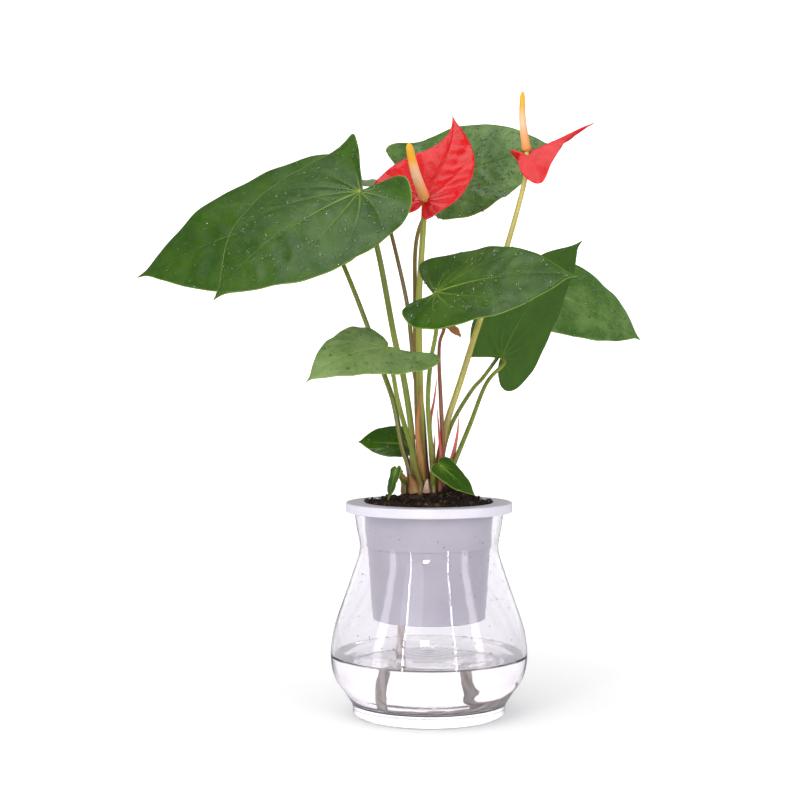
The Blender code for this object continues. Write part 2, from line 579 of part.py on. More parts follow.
def sheet(blade, thickness, finish):
    """A thin closed solid in the blade's shape: two rings of its outline, given a thickness."""
    outline = blade.outline(HALF_STEPS)
    count = len(outline)
    flat = np.concatenate([np.zeros((1, 2)), outline * INNER_RING, outline])
    points = blade.bent(flat[:, 0], flat[:, 1])
    faces = []
    for i in range(count):
        inner, after = 1 + i, 1 + (i + 1) % count
        faces.append((0, inner, after))
        faces.append((inner, count + inner, count + after, after))
    mesh = bpy.data.meshes.new(blade.name)
    mesh.from_pydata([tuple(point - blade.joint) for point in points], [], faces)
    mesh.shade_smooth()
    made = linked(blade.name, mesh, finish)
    made.location = blade.joint
    solidify = made.modifiers.new("thickness", "SOLIDIFY")
    solidify.thickness = thickness
    solidify.offset = 0.0
    return made


def stem_points(stem, blades):
    """The stem's smooth route. It ends under its blade, clear of it."""
    blade = blades[stem.carries]
    thick = SPATHE_THICKNESS if stem.carries.startswith("spathe") else BLADE_THICKNESS
    end = blade.joint - blade.normal * (stem.end_radius + STEM_END_GAP + thick / 2)
    foot = (*stem.foot, CROWN_TOP + TOUCH_GAP)
    above = (*stem.foot, CROWN_TOP + TOUCH_GAP + STEM_UPRIGHT)
    return smooth_curve([foot, above, *stem.route, end], STEM_STEPS)


def make_stem(stem, blades, finish):
    points = stem_points(stem, blades)
    points[1][:2] = points[0][:2]
    radii = np.linspace(stem.foot_radius, stem.end_radius, len(points))
    return curve_tube(stem.name, points, radii, finish, STEM_RESOLUTION)


def make_spadix(name, foot, top, foot_radius, top_radius):
    """A tapering spike with a round end."""
    colour = material(name, (0.90, 0.50, 0.18), 0.6)
    lift = np.array((0.0, 0.0, RIM_TOP))
    points = np.linspace(foot, top, SPADIX_STEPS) + lift
    radii = np.linspace(foot_radius, top_radius, SPADIX_STEPS)
    radii[-2:] *= SPADIX_END
    return curve_tube(name, points, radii, colour, ROUND_RESOLUTION)


def make_sheath(name, foot, route, foot_radius, tip_radius):
    colour = material(name, (0.35, 0.10, 0.06), 0.6)
    start = (*foot, CROWN_TOP + TOUCH_GAP)
    above = (*foot, CROWN_TOP + TOUCH_GAP + SHEATH_UPRIGHT)
    points = smooth_curve([start, above, *[(x, y, z + RIM_TOP) for x, y, z in route]], SHEATH_STEPS)
    points[1][:2] = points[0][:2]
    even = SHEATH_STEPS // 2
    radii = [foot_radius] * even + list(np.linspace(foot_radius, tip_radius, SHEATH_STEPS - even))
    return curve_tube(name, points, radii, colour, STEM_RESOLUTION)


def clear_scene():
    for old in list(bpy.data.objects):
        bpy.data.objects.remove(old)


def main():
    clear_scene()
    make_vase()
    make_insert()
    make_soil()
    make_water()
    make_wick()
    make_crown()
    blades = {blade.name: blade for blade in (*BLADES, *SPATHES)}
    for blade in BLADES:
        colour = LEAF_COLOURS.get(blade.name, LEAF_GREEN)
        sheet(blade, BLADE_THICKNESS, material(blade.name, colour, 0.35))
    for blade in SPATHES:
        sheet(blade, SPATHE_THICKNESS, material(blade.name, (0.80, 0.03, 0.04), 0.3))
    for stem in STEMS:
        colour = STEM_BROWN if stem.name in BROWN_STEMS else STEM_GREEN
        make_stem(stem, blades, material(stem.name, colour, 0.4))
    for name, spadix in SPADICES.items():
        make_spadix(name, *spadix)
    for name, sheath in SHEATHS.items():
        make_sheath(name, *sheath)


main()
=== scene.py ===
"""The looks of a potted anthurium: a glass vase with water, an insert pot with soil, a cotton wick and the
plant. Metres, +Z up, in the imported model's frame, whose origin is on the vase's axis where it stands."""

import math

import bmesh
import bpy
import numpy as np
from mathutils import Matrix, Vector


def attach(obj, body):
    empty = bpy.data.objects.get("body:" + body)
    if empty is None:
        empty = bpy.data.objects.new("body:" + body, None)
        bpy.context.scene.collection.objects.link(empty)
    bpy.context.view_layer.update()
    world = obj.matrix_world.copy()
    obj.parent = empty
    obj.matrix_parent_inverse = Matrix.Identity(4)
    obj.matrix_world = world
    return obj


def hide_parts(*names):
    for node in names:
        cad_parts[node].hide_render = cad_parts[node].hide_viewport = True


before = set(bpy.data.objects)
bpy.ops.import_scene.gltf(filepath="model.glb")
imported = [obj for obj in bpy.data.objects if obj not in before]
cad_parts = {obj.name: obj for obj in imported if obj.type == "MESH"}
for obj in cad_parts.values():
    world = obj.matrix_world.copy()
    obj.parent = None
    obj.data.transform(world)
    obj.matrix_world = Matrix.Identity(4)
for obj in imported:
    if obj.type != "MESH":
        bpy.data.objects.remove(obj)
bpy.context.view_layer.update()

# Sizes that the CAD part is made from, repeated here so that the fine shapes lie where its solids do
VASE_HEIGHT = 0.1305
VASE_MOUTH_RADIUS = 0.0475
VASE_NECK_RADIUS = 0.0437
VASE_NECK_Z = 0.1040
VASE_BELLY_RADIUS = 0.0620
VASE_BELLY_Z = 0.0350
VASE_FOOT_RADIUS = 0.0482
VASE_FOOT_HEIGHT = 0.0070
VASE_WALL = 0.0022
VASE_FLOOR = 0.0080
VASE_EDGE = 0.0012
NECK_CLEARANCE = 0.0005
LIP_CLEARANCE = 0.0030
LIP_THICKNESS = 0.0020
LIP_DROP = 0.0038
FLANGE_THICKNESS = 0.0022
INSERT_WALL = 0.0015
INSERT_FLOOR = 0.0020
INSERT_TAPER = 0.0055
INSERT_DEPTH = 0.0735
WATER_DEPTH = 0.0300
SOIL_MOUND = 0.0080
TOUCH_GAP = 0.0003
CROWN_PROUD = 0.0010
BLADE_THICKNESS = 0.0006
SPATHE_THICKNESS = 0.0009
WICK_DIAMETER = 0.0054
VASE_SHOULDER = ((0.75, 0.27), (0.50, 0.60), (0.25, 0.90))
VASE_UNDERSIDE = ((0.55, 0.80), (0.27, 0.40), (0.00, 0.05))
FLOOR_BEND_HEIGHT = 0.0040
FLOOR_BEND = ((0.0020, 0.0016), (0.0055, 0.0000))
FOLD_SOFTNESS = 0.03
CURVE_SAMPLES = 12
INSERT_TOP_RADIUS = VASE_NECK_RADIUS - VASE_WALL - NECK_CLEARANCE
INSERT_BOTTOM_RADIUS = INSERT_TOP_RADIUS - INSERT_TAPER
RIM_TOP = VASE_HEIGHT + TOUCH_GAP + FLANGE_THICKNESS
INSERT_BOTTOM = RIM_TOP - INSERT_DEPTH
WATER_TOP = VASE_FLOOR + TOUCH_GAP + WATER_DEPTH
CROWN_TOP = RIM_TOP + SOIL_MOUND + CROWN_PROUD

# The wick's own route: from the hole in the insert's floor into the water, round along the front of the
# vase's floor and up again at the right
WICK_POINTS = (
    (-0.0168, 0.0000, 0.0612),
    (-0.0168, 0.0000, 0.0560),
    (-0.0170, 0.0000, 0.0495),
    (-0.0176, 0.0000, 0.0430),
    (-0.0190, -0.0002, 0.0360),
    (-0.0210, -0.0008, 0.0290),
    (-0.0226, -0.0025, 0.0225),
    (-0.0232, -0.0065, 0.0165),
    (-0.0220, -0.0135, 0.0125),
    (-0.0175, -0.0210, 0.0114),
    (-0.0090, -0.0265, 0.0112),
    (0.0020, -0.0290, 0.0112),
    (0.0140, -0.0285, 0.0113),
    (0.0255, -0.0245, 0.0117),
    (0.0350, -0.0180, 0.0136),
    (0.0415, -0.0085, 0.0175),
    (0.0430, 0.0025, 0.0215),
    (0.0380, 0.0115, 0.0205),
    (0.0290, 0.0135, 0.0180),
    (0.0215, 0.0085, 0.0185),
    (0.0182, -0.0005, 0.0230),
    (0.0180, -0.0085, 0.0305),
)


# One half of a blade, from its tip to the notch where its stem joins it: the share of the length, or of the
# lobe behind the joint where it is negative, the share of the half width for each kind of half, and how far
# outwards the point moves when the notch opens fully. The kinds are an even heart, one widest nearer its tip,
# one drawn in towards its tip, one with a full round lobe and one that tapers back to a narrow lobe
HEART, FORWARD, WAISTED, LOBED, TAPERED = 0, 1, 2, 3, 4
HALF_OUTLINES = (
    (1.00, (0.000, 0.000, 0.000, 0.000, 0.000), 0.00),
    (0.94, (0.050, 0.080, 0.015, 0.050, 0.100), 0.00),
    (0.86, (0.230, 0.300, 0.040, 0.230, 0.340), 0.00),
    (0.74, (0.480, 0.570, 0.110, 0.480, 0.640), 0.00),
    (0.58, (0.710, 0.800, 0.300, 0.710, 0.880), 0.00),
    (0.38, (0.880, 0.950, 0.620, 0.880, 1.000), 0.00),
    (0.15, (0.985, 0.940, 0.930, 0.990, 0.900), 0.00),
    (-0.30, (0.960, 0.760, 1.030, 1.030, 0.600), 0.00),
    (-0.78, (0.780, 0.570, 0.850, 0.950, 0.420), 0.12),
    (-1.00, (0.470, 0.350, 0.500, 0.680, 0.270), 0.40),
    (-0.88, (0.220, 0.180, 0.240, 0.340, 0.130), 0.50),
    (-0.50, (0.055, 0.050, 0.055, 0.090, 0.040), 0.34),
    (-0.12, (0.000, 0.000, 0.000, 0.000, 0.000), 0.00),
)


class Blade:
    """A leaf blade or a spathe. joint is where its stem meets it, as x, y and the height above the rim. Its
    midrib leaves the joint at heading, seen from above from +X towards +Y, and rises by pitch; roll turns it
    about the midrib, right side down. The sizes are in metres and the bends are shares of the length."""

    def __init__(self, name, joint, heading, pitch, roll, length, width, lobe, **bends):
        self.name = name
        self.joint = np.array([joint[0], joint[1], joint[2] + RIM_TOP])
        self.length, self.width, self.lobe = length, width, lobe
        self.arch = bends.get("arch", 0.0)  # the midrib's rise between joint and tip
        self.cup = bends.get("cup", 0.0)  # fall of the sides, as the square of the distance
        self.twist = bends.get("twist", 0.0)
        self.sway = bends.get("sway", 0.0)  # sideways bend of the tip
        self.droop = bends.get("droop", 0.0)  # fall of the tip
        # The rest are pairs, for the right half and the left half
        self.fold = bends.get("fold", (0.0, 0.0))  # slope up from the midrib
        self.tip_fold = bends.get("tip_fold", self.fold)  # the same, at the tip
        self.lift = bends.get("lift", (0.0, 0.0))  # rise of the lobe's end
        self.kinds = bends.get("kinds", (HEART, HEART))
        self.widths = bends.get("widths", (1.0, 1.0))
        self.lobes = bends.get("lobes", (1.0, 1.0))
        self.opening = bends.get("opening", (0.0, 0.0))  # how far the notch opens
        turn, rise, lean = (math.radians(angle) for angle in (heading, pitch, roll))
        self.along = np.array(
            [math.cos(rise) * math.cos(turn), math.cos(rise) * math.sin(turn), math.sin(rise)]
        )
        level = np.array([math.sin(turn), -math.cos(turn), 0.0])
        up = np.cross(level, self.along)
        self.side = level * math.cos(lean) - up * math.sin(lean)
        self.normal = np.cross(self.side, self.along)

    def half_outline(self, side, count):
        points = []
        for share, across, outwards in HALF_OUTLINES:
            u = share * (self.length if share > 0 else self.lobe * self.lobes[side])
            across = (across[self.kinds[side]] + outwards * self.opening[side]) * self.widths[side]
            points.append((u, across * self.width / 2))
        points = smooth_curve(points, count)
        return np.stack([points[:, 0], np.maximum(points[:, 1], 0.0)], axis=1)

    def outline(self, count):
        """The closed outline, down the right half and back up the left one, as u along and v across."""
        return np.concatenate([self.half_outline(0, count), self.half_outline(1, count)[-2:0:-1] * (1, -1)])

    def bent(self, u, v):
        """World points of the flat blade's points u, v."""
        share = u / self.length
        reach = np.maximum(share, 0.0)
        across = v / (self.width / 2)
        back = np.maximum(-u, 0.0) / self.lobe
        right = v >= 0
        soft = self.width * FOLD_SOFTNESS
        fold = np.where(right, *self.fold) * (1 - reach) + np.where(right, *self.tip_fold) * reach
        height = fold * (np.sqrt(v**2 + soft**2) - soft)
        rise = self.arch * (4 * share - 4 * reach**2) - self.droop * reach**4 - self.cup * across**2
        height = height + self.length * (rise + np.where(right, *self.lift) * back**2)
        height = height + self.twist * v * share
        v = v + self.sway * self.length * reach**4
        return (
            self.joint
            + np.multiply.outer(u, self.along)
            + np.multiply.outer(v, self.side)
            + np.multiply.outer(height, self.normal)
        )


# x and y of each joint, and its height above the rim, then heading, pitch, roll, length, width and lobe
BLADES = (
    Blade("leaf_front_left", (-0.0427, -0.0300, 0.1918), -162, -35, -38, 0.1130, 0.0940, 0.0270,
          arch=0.07, cup=0.03, opening=(0.8, 0.1), lift=(0.17, 0.13), widths=(1.08, 1.10), sway=-0.05,
          kinds=(HEART, FORWARD), lobes=(0.95, 0.9)),
    Blade("leaf_back_left", (-0.0747, 0.0300, 0.1896), 173, -21, -54, 0.1280, 0.1040, 0.0320,
          arch=0.03, cup=0.02, widths=(0.92, 1.08)),
    Blade("leaf_upper_back", (0.0053, 0.0550, 0.2055), -14, 17, 65, 0.0830, 0.0780, 0.0270,
          arch=0.05, cup=0.02, opening=(0.2, 0.4), lift=(0.0, 0.22), kinds=(FORWARD, LOBED),
          widths=(0.86, 1.03), lobes=(0.3, 1.0)),
    Blade("leaf_middle_right", (0.0042, -0.0450, 0.1300), -21, 5, 43, 0.0885, 0.0770, 0.0180,
          arch=0.07, opening=(0.15, 0.6), lift=(0.06, 0.04), kinds=(FORWARD, LOBED), widths=(1.05, 0.88)),
    Blade("leaf_lower_right", (0.0475, 0.0450, 0.0916), -29, 52, -17, 0.0943, 0.0740, 0.0200,
          arch=0.07, lobes=(0.3, 1.0), opening=(0.9, 0.1), widths=(1.12, 1.0), kinds=(FORWARD, HEART)),
    Blade("leaf_middle_left", (-0.0254, -0.0430, 0.0965), -150, -16, -33, 0.0563, 0.0560, 0.0170,
          arch=0.08, droop=0.12, opening=(0.2, 0.5), widths=(0.90, 1.0), lobes=(0.35, 1.3), lift=(0.0, 0.09),
          kinds=(HEART, LOBED)),
    Blade("leaf_far_right", (0.0772, 0.1000, 0.1399), 14, -26, 57, 0.0827, 0.0650, 0.0180,
          arch=0.05, cup=0.02, widths=(1.0, 1.08), kinds=(HEART, FORWARD)),
    Blade("leaf_low_left", (-0.0128, 0.0120, 0.0359), 178, 2, -62, 0.0332, 0.0225, 0.0040,
          cup=0.05, widths=(1.25, 0.85), kinds=(FORWARD, FORWARD)),
    Blade("leaf_soil_left", (-0.0205, -0.0150, 0.0208), -128, -67, 15, 0.0200, 0.0110, 0.0030),
    Blade("leaf_soil_right", (0.0074, -0.0180, 0.0238), -12, -40, 41, 0.0290, 0.0180, 0.0040),
    Blade("leaf_behind_flower", (-0.0307, 0.0150, 0.2010), 100, 12, 0, 0.0450, 0.0300, 0.0080),
    Blade("leaf_young_bronze", (0.0094, -0.0060, 0.1135), 50, -30, 10, 0.0200, 0.0150, 0.0040),
)
SPATHES = (
    Blade("spathe_front", (-0.0025, -0.0120, 0.1889), 38, 57, 43, 0.0620, 0.0600, 0.0150,
          arch=0.03, sway=-0.17, widths=(0.70, 1.1), kinds=(TAPERED, WAISTED), lobes=(0.8, 1.0)),
    Blade("spathe_right", (0.0614, 0.0050, 0.2200), 4, 24, 0, 0.0470, 0.0230, 0.0100,
          fold=(-1.9, -0.6), tip_fold=(0.1, -0.4), lift=(0.0, 0.3), kinds=(WAISTED, HEART), lobes=(0.9, 0.8)),
)


class Stem:
    """A petiole or a peduncle, from its foot on the crown through the route's points to its blade."""

    def __init__(self, name, carries, foot, route, foot_radius, end_radius):
        self.name, self.carries, self.foot = name, carries, foot
        self.route = [(x, y, z + RIM_TOP) for x, y, z in route]
        self.foot_radius, self.end_radius = foot_radius, end_radius


STEMS = (
    Stem("petiole_back_left", "leaf_back_left", (-0.0114, 0.0040), (
        (-0.0133, 0.0050, 0.0236), (-0.0165, 0.0060, 0.0330), (-0.0229, 0.0100, 0.0640),
        (-0.0287, 0.0130, 0.0805), (-0.0404, 0.0180, 0.1139), (-0.0555, 0.0240, 0.1515)), 0.0019, 0.0014),
    Stem("petiole_front_left", "leaf_front_left", (-0.0082, -0.0020), (
        (-0.0094, -0.0030, 0.0203), (-0.0113, -0.0060, 0.0481), (-0.0162, -0.0110, 0.0806),
        (-0.0211, -0.0150, 0.1017), (-0.0319, -0.0240, 0.1587)), 0.0021, 0.0017),
    Stem("petiole_middle_left", "leaf_middle_left", (-0.0050, -0.0100), (
        (-0.0075, -0.0120, 0.0197), (-0.0106, -0.0150, 0.0341), (-0.0149, -0.0200, 0.0485),
        (-0.0191, -0.0270, 0.0647), (-0.0221, -0.0345, 0.0819)), 0.0018, 0.0013),
    Stem("petiole_behind_flower", "leaf_behind_flower", (0.0000, 0.0070), (
        (-0.0013, 0.0070, 0.0196), (-0.0050, 0.0080, 0.0640), (-0.0089, 0.0090, 0.0799),
        (-0.0115, 0.0100, 0.1047), (-0.0140, 0.0110, 0.1258), (-0.0243, 0.0130, 0.1712)), 0.0017, 0.0012),
    Stem("petiole_upper_back", "leaf_upper_back", (-0.0057, 0.0090), (
        (-0.0070, 0.0120, 0.0385), (-0.0083, 0.0200, 0.0767), (-0.0091, 0.0370, 0.1284),
        (-0.0072, 0.0560, 0.1749)), 0.0017, 0.0013),
    Stem("petiole_middle_right", "leaf_middle_right", (0.0025, -0.0080), (
        (0.0025, -0.0090, 0.0245), (0.0006, -0.0120, 0.0433), (-0.0006, -0.0170, 0.0645),
        (0.0012, -0.0270, 0.0887), (0.0046, -0.0380, 0.1083)), 0.0017, 0.0013),
    Stem("petiole_young", "leaf_young_bronze", (0.0081, -0.0060), (
        (0.0088, -0.0060, 0.0337), (0.0075, -0.0060, 0.0625), (0.0063, -0.0060, 0.0919),
        (0.0069, -0.0060, 0.1013), (0.0094, -0.0060, 0.1094)), 0.0017, 0.0010),
    Stem("petiole_lower_right", "leaf_lower_right", (0.0120, 0.0010), (
        (0.0133, 0.0020, 0.0174), (0.0171, 0.0040, 0.0268), (0.0262, 0.0140, 0.0480),
        (0.0380, 0.0310, 0.0756)), 0.0017, 0.0012),
    Stem("petiole_far_right", "leaf_far_right", (0.0076, 0.0080), (
        (0.0089, 0.0110, 0.0289), (0.0141, 0.0180, 0.0471), (0.0280, 0.0330, 0.0700),
        (0.0365, 0.0480, 0.0790), (0.0590, 0.0780, 0.1105)), 0.0015, 0.0011),
    Stem("petiole_low_left", "leaf_low_left", (-0.0110, 0.0105), (
        (-0.0110, 0.0125, 0.0200), (-0.0115, 0.0145, 0.0300)), 0.0014, 0.0010),
    Stem("petiole_soil_left", "leaf_soil_left", (-0.0150, -0.0050), (
        (-0.0172, -0.0080, 0.0150), (-0.0188, -0.0115, 0.0195)), 0.0012, 0.0008),
    Stem("petiole_soil_right", "leaf_soil_right", (0.0030, -0.0130), (
        (0.0030, -0.0150, 0.0150), (0.0048, -0.0170, 0.0210)), 0.0012, 0.0009),
    Stem("peduncle_front", "spathe_front", (-0.0025, -0.0010), (
        (-0.0044, -0.0010, 0.0328), (-0.0057, -0.0020, 0.0768), (-0.0063, -0.0040, 0.1082),
        (-0.0063, -0.0050, 0.1270), (-0.0044, -0.0080, 0.1581)), 0.0024, 0.0018),
    Stem("peduncle_right", "spathe_right", (0.0050, 0.0010), (
        (0.0063, 0.0010, 0.0263), (0.0114, 0.0010, 0.0497), (0.0202, 0.0020, 0.0768),
        (0.0316, 0.0020, 0.1128), (0.0493, 0.0030, 0.1615)), 0.0022, 0.0016),
)


# The spadices: foot and top, each as x, y and height above the rim, and their radii there
SPADICES = {
    "spadix_front": ((-0.0031, -0.0158, 0.1905), (-0.0121, -0.0410, 0.2190), 0.0034, 0.0022),
    "spadix_right": ((0.0614, 0.0050, 0.2228), (0.0589, 0.0050, 0.2580), 0.0029, 0.0015),
}

# Sheaths at the foot of the stems: foot on the crown, route above the rim, foot radius and tip radius
SHEATHS = {
    "sheath_pink": ((0.0035, 0.0055), (
        (0.0006, 0.0050, 0.0483), (0.0032, 0.0040, 0.0641), (0.0051, 0.0030, 0.0787)), 0.0012, 0.0003),
    "sheath_coral": ((0.0085, 0.0045), (
        (0.0146, 0.0065, 0.0273), (0.0178, 0.0080, 0.0419), (0.0191, 0.0090, 0.0552)), 0.0013, 0.0003),
    "sheath_crimson": ((0.0068, -0.0105), (
        (0.0075, -0.0098, 0.0270), (0.0062, -0.0092, 0.0457), (0.0050, -0.0092, 0.0607)), 0.0012, 0.0003),
    "sheath_tan": ((-0.0035, -0.0057), (
        (-0.0038, -0.0062, 0.0173), (-0.0072, -0.0065, 0.0480), (-0.0044, -0.0060, 0.0750)), 0.0014, 0.0003),
    "sheath_straw": ((0.0045, -0.0045), (
        (0.0036, -0.0042, 0.0200), (0.0031, -0.0040, 0.0294), (0.0038, -0.0036, 0.0437)), 0.0010, 0.0003),
    "sheath_dried_left": ((-0.0135, -0.0010), (
        (-0.0150, -0.0020, 0.0130), (-0.0182, -0.0030, 0.0185), (-0.0208, -0.0040, 0.0209)), 0.0014, 0.0004),
    "sheath_dried_front": ((-0.0085, -0.0078), (
        (-0.0098, -0.0086, 0.0120), (-0.0115, -0.0092, 0.0155), (-0.0131, -0.0096, 0.0185)), 0.0014, 0.0004),
    "new_shoot": ((-0.0015, -0.0138), (
        (-0.0014, -0.0142, 0.0105), (-0.0012, -0.0146, 0.0130), (-0.0010, -0.0148, 0.0155)), 0.0016, 0.0004),
}


def smooth_curve(points, count):
    """count points, evenly spread, along a centripetal Catmull-Rom curve through the given points."""
    knots = np.array(points, float)
    ends = [2 * knots[0] - knots[1], *knots, 2 * knots[-1] - knots[-2]]
    lengths = [math.sqrt(np.linalg.norm(b - a)) for a, b in zip(ends, ends[1:])]
    times = np.concatenate([[0.0], np.cumsum(lengths)])
    fine = []
    for t in np.linspace(times[1], times[-2], CURVE_SAMPLES * len(knots)):
        i = min(max(int(np.searchsorted(times, t, side="right")) - 1, 1), len(knots) - 1)
        near = times[i - 1 : i + 3]
        p = ends[i - 1 : i + 3]
        a = [mixed(p[k], p[k + 1], near[k], near[k + 1], t) for k in range(3)]
        b = [mixed(a[k], a[k + 1], near[k], near[k + 2], t) for k in range(2)]
        fine.append(mixed(b[0], b[1], near[1], near[2], t))
    fine = np.array(fine)
    run = np.concatenate([[0.0], np.cumsum(np.linalg.norm(np.diff(fine, axis=0), axis=1))])
    spread = np.linspace(0.0, run[-1], count)
    return np.stack([np.interp(spread, run, fine[:, k]) for k in range(fine.shape[1])], axis=1)


def mixed(a, b, start, end, t):
    return a + (b - a) * ((t - start) / (end - start))


def vase_outside(count):
    """The vase's outer profile from the mouth down to the foot, as radius and height."""
    mouth = np.array([VASE_MOUTH_RADIUS, VASE_HEIGHT - VASE_EDGE])
    neck = np.array([VASE_NECK_RADIUS, VASE_NECK_Z])
    belly = np.array([VASE_BELLY_RADIUS, VASE_BELLY_Z])
    foot = np.array([VASE_FOOT_RADIUS, VASE_FOOT_HEIGHT])
    points = [mouth, (mouth + neck) / 2, neck]
    for up, gain in VASE_SHOULDER:
        points.append((neck[0] + gain * (belly[0] - neck[0]), belly[1] + up * (neck[1] - belly[1])))
    points.append(belly)
    for up, gain in VASE_UNDERSIDE:
        points.append((foot[0] + gain * (belly[0] - foot[0]), foot[1] + up * (belly[1] - foot[1])))
    return smooth_curve(points, count)


def inward(profile, distance):
    """The profile moved towards its inner side."""
    steps = np.gradient(profile, axis=0)
    across = np.stack([steps[:, 1], -steps[:, 0]], axis=1)
    return profile + across / np.linalg.norm(across, axis=1)[:, None] * distance


def vase_inside(clearance, count):
    """The vase's inner profile from the mouth down to the floor's middle, moved in by clearance."""
    floor = VASE_FLOOR + clearance
    wall = inward(vase_outside(count), VASE_WALL + clearance)
    wall = wall[wall[:, 1] > floor + FLOOR_BEND_HEIGHT]
    bend = [(wall[-1][0] - inwards, floor + height) for inwards, height in FLOOR_BEND]
    return np.concatenate([wall, bend, [(0.0, floor)]])


MIX_A, MIX_B, MIX_RESULT = 6, 7, 2  # the colour sockets of Blender's Mix node


class Nodes:
    """A Principled material, built with short calls. A keyword sets one of the shader's own sockets."""

    def __init__(self, name, **sockets):
        self.material = bpy.data.materials.new(name)
        self.material.use_nodes = True
        self.tree = self.material.node_tree
        self.shader = self.tree.nodes["Principled BSDF"]
        for socket, value in sockets.items():
            self.set(socket.replace("_", " "), value)

    def set(self, socket, value):
        self.put(self.shader.inputs[socket], value)

    def put(self, socket, value):
        if isinstance(value, bpy.types.NodeSocket):
            self.tree.links.new(value, socket)
        elif isinstance(value, tuple) and len(value) == 3 and socket.type == "RGBA":
            socket.default_value = (*value, 1.0)
        else:
            socket.default_value = value

    def make(self, kind, **settings):
        made = self.tree.nodes.new(kind)
        for key, value in settings.items():
            setattr(made, key, value)
        return made

    def place(self):
        return self.make("ShaderNodeTexCoord").outputs["Object"]

    def attribute(self, name):
        return self.make("ShaderNodeAttribute", attribute_name=name).outputs["Fac"]

    def stretched(self, scale):
        mapping = self.make("ShaderNodeMapping")
        self.put(mapping.inputs["Vector"], self.place())
        mapping.inputs["Scale"].default_value = scale
        return mapping.outputs["Vector"]

    def noise(self, scale, detail=3.0, roughness=0.55, vector=None):
        made = self.make("ShaderNodeTexNoise")
        self.put(made.inputs["Vector"], vector or self.place())
        made.inputs["Scale"].default_value = scale
        made.inputs["Detail"].default_value = detail
        made.inputs["Roughness"].default_value = roughness
        return made.outputs["Fac"]

    def math(self, operation, *values):
        made = self.make("ShaderNodeMath", operation=operation)
        for socket, value in zip(made.inputs, values):
            self.put(socket, value)
        return made.outputs["Value"]

    def between(self, value, low, high, start=0.0, end=1.0):
        """Value's place between low and high, as a smooth step from start to end."""
        made = self.make("ShaderNodeMapRange", interpolation_type="SMOOTHSTEP")
        for socket, number in zip(made.inputs, (value, low, high, start, end)):
            self.put(socket, number)
        return made.outputs["Result"]

    def mix(self, factor, first, second):
        made = self.make("ShaderNodeMix", data_type="RGBA")
        self.put(made.inputs["Factor"], factor)
        self.put(made.inputs[MIX_A], first)
        self.put(made.inputs[MIX_B], second)
        return made.outputs[MIX_RESULT]

    def ramp(self, factor, *stops):
        made = self.make("ShaderNodeValToRGB")
        self.put(made.inputs["Fac"], factor)
        elements = made.color_ramp.elements
        while len(elements) < len(stops):
            elements.new(0.5)
        for element, (place, colour) in zip(elements, stops):
            element.position = place
            element.color = (*colour, 1.0)
        return made.outputs["Color"]

    def bump(self, height, strength, distance):
        made = self.make("ShaderNodeBump")
        self.put(made.inputs["Height"], height)
        made.inputs["Strength"].default_value = strength
        made.inputs["Distance"].default_value = distance
        self.set("Normal", made.outputs["Normal"])


def add_piece(name, mesh, material, replaced=()):
    """A finished piece: it rides on the one body and stands for the CAD nodes named."""
    if material.name not in mesh.materials:
        mesh.materials.append(material)
    piece = bpy.data.objects.new(name, mesh)
    bpy.context.collection.objects.link(piece)
    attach(piece, "root")
    if replaced:
        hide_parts(*replaced)
    return piece


def mesh_of(name, points, faces, smooth=True, **attributes):
    """A mesh with a number at each of its points for every keyword."""
    mesh = bpy.data.meshes.new(name)
    mesh.from_pydata(np.asarray(points, float).tolist(), [], faces)
    for key, values in attributes.items():
        layer = mesh.attributes.new(key, "FLOAT", "POINT")
        layer.data.foreach_set("value", np.asarray(values, np.float32))
    if smooth:
        mesh.shade_smooth()
    return mesh


def add_from_turn(mesh, name, value_at):
    """One more number at each point of a tube, worked out from its share of the length and its turn."""
    share, turn = np.empty((2, len(mesh.vertices)), np.float32)
    mesh.attributes["share"].data.foreach_get("value", share)
    mesh.attributes["turn"].data.foreach_get("value", turn)
    layer = mesh.attributes.new(name, "FLOAT", "POINT")
    layer.data.foreach_set("value", value_at(share, turn).astype(np.float32))


def grid_faces(rows, columns):
    """Quads between rows of points, each row a ring of so many columns."""
    i, j = np.meshgrid(np.arange(rows - 1), np.arange(columns), indexing="ij")
    a = i * columns + j
    b = i * columns + (j + 1) % columns
    return np.stack([a, b, b + columns, a + columns], axis=-1).reshape(-1, 4).tolist()


def turned_mesh(name, profile, steps):
    """A closed profile of radius and height, from the axis round to the axis, turned about +Z."""
    profile = np.asarray(profile)
    angles = np.linspace(0.0, 2 * math.pi, steps, endpoint=False)
    ring = profile[1:-1]
    radii = np.repeat(ring[:, :1], steps, axis=1)
    heights = np.repeat(ring[:, 1:], steps, axis=1)
    points = np.stack([radii * np.cos(angles), radii * np.sin(angles), heights], axis=-1)
    points = np.concatenate([points.reshape(-1, 3), [[0, 0, profile[0, 1]], [0, 0, profile[-1, 1]]]])
    rows = len(ring)
    faces = [face[::-1] for face in grid_faces(rows, steps)]
    first, last = rows * steps, rows * steps + 1
    faces += [(first, j, (j + 1) % steps) for j in range(steps)]
    base = (rows - 1) * steps
    faces += [(last, base + (j + 1) % steps, base + j) for j in range(steps)]
    return mesh_of(name, points, faces)


def frames_along(path):
    """Unit directions along a path, and two directions across it that turn as little as they can."""
    along = np.gradient(path, axis=0)
    along /= np.linalg.norm(along, axis=1)[:, None]
    first = np.cross(along[0], (0.31, 0.95, 0.02))
    across = [first / np.linalg.norm(first)]
    for direction in along[1:]:
        moved = across[-1] - direction * np.dot(across[-1], direction)
        across.append(moved / np.linalg.norm(moved))
    across = np.array(across)
    return along, across, np.cross(along, across)


DOME_STEPS = 4
DOME_HEIGHT = 0.6  # of a tube's domed end, as a share of its radius


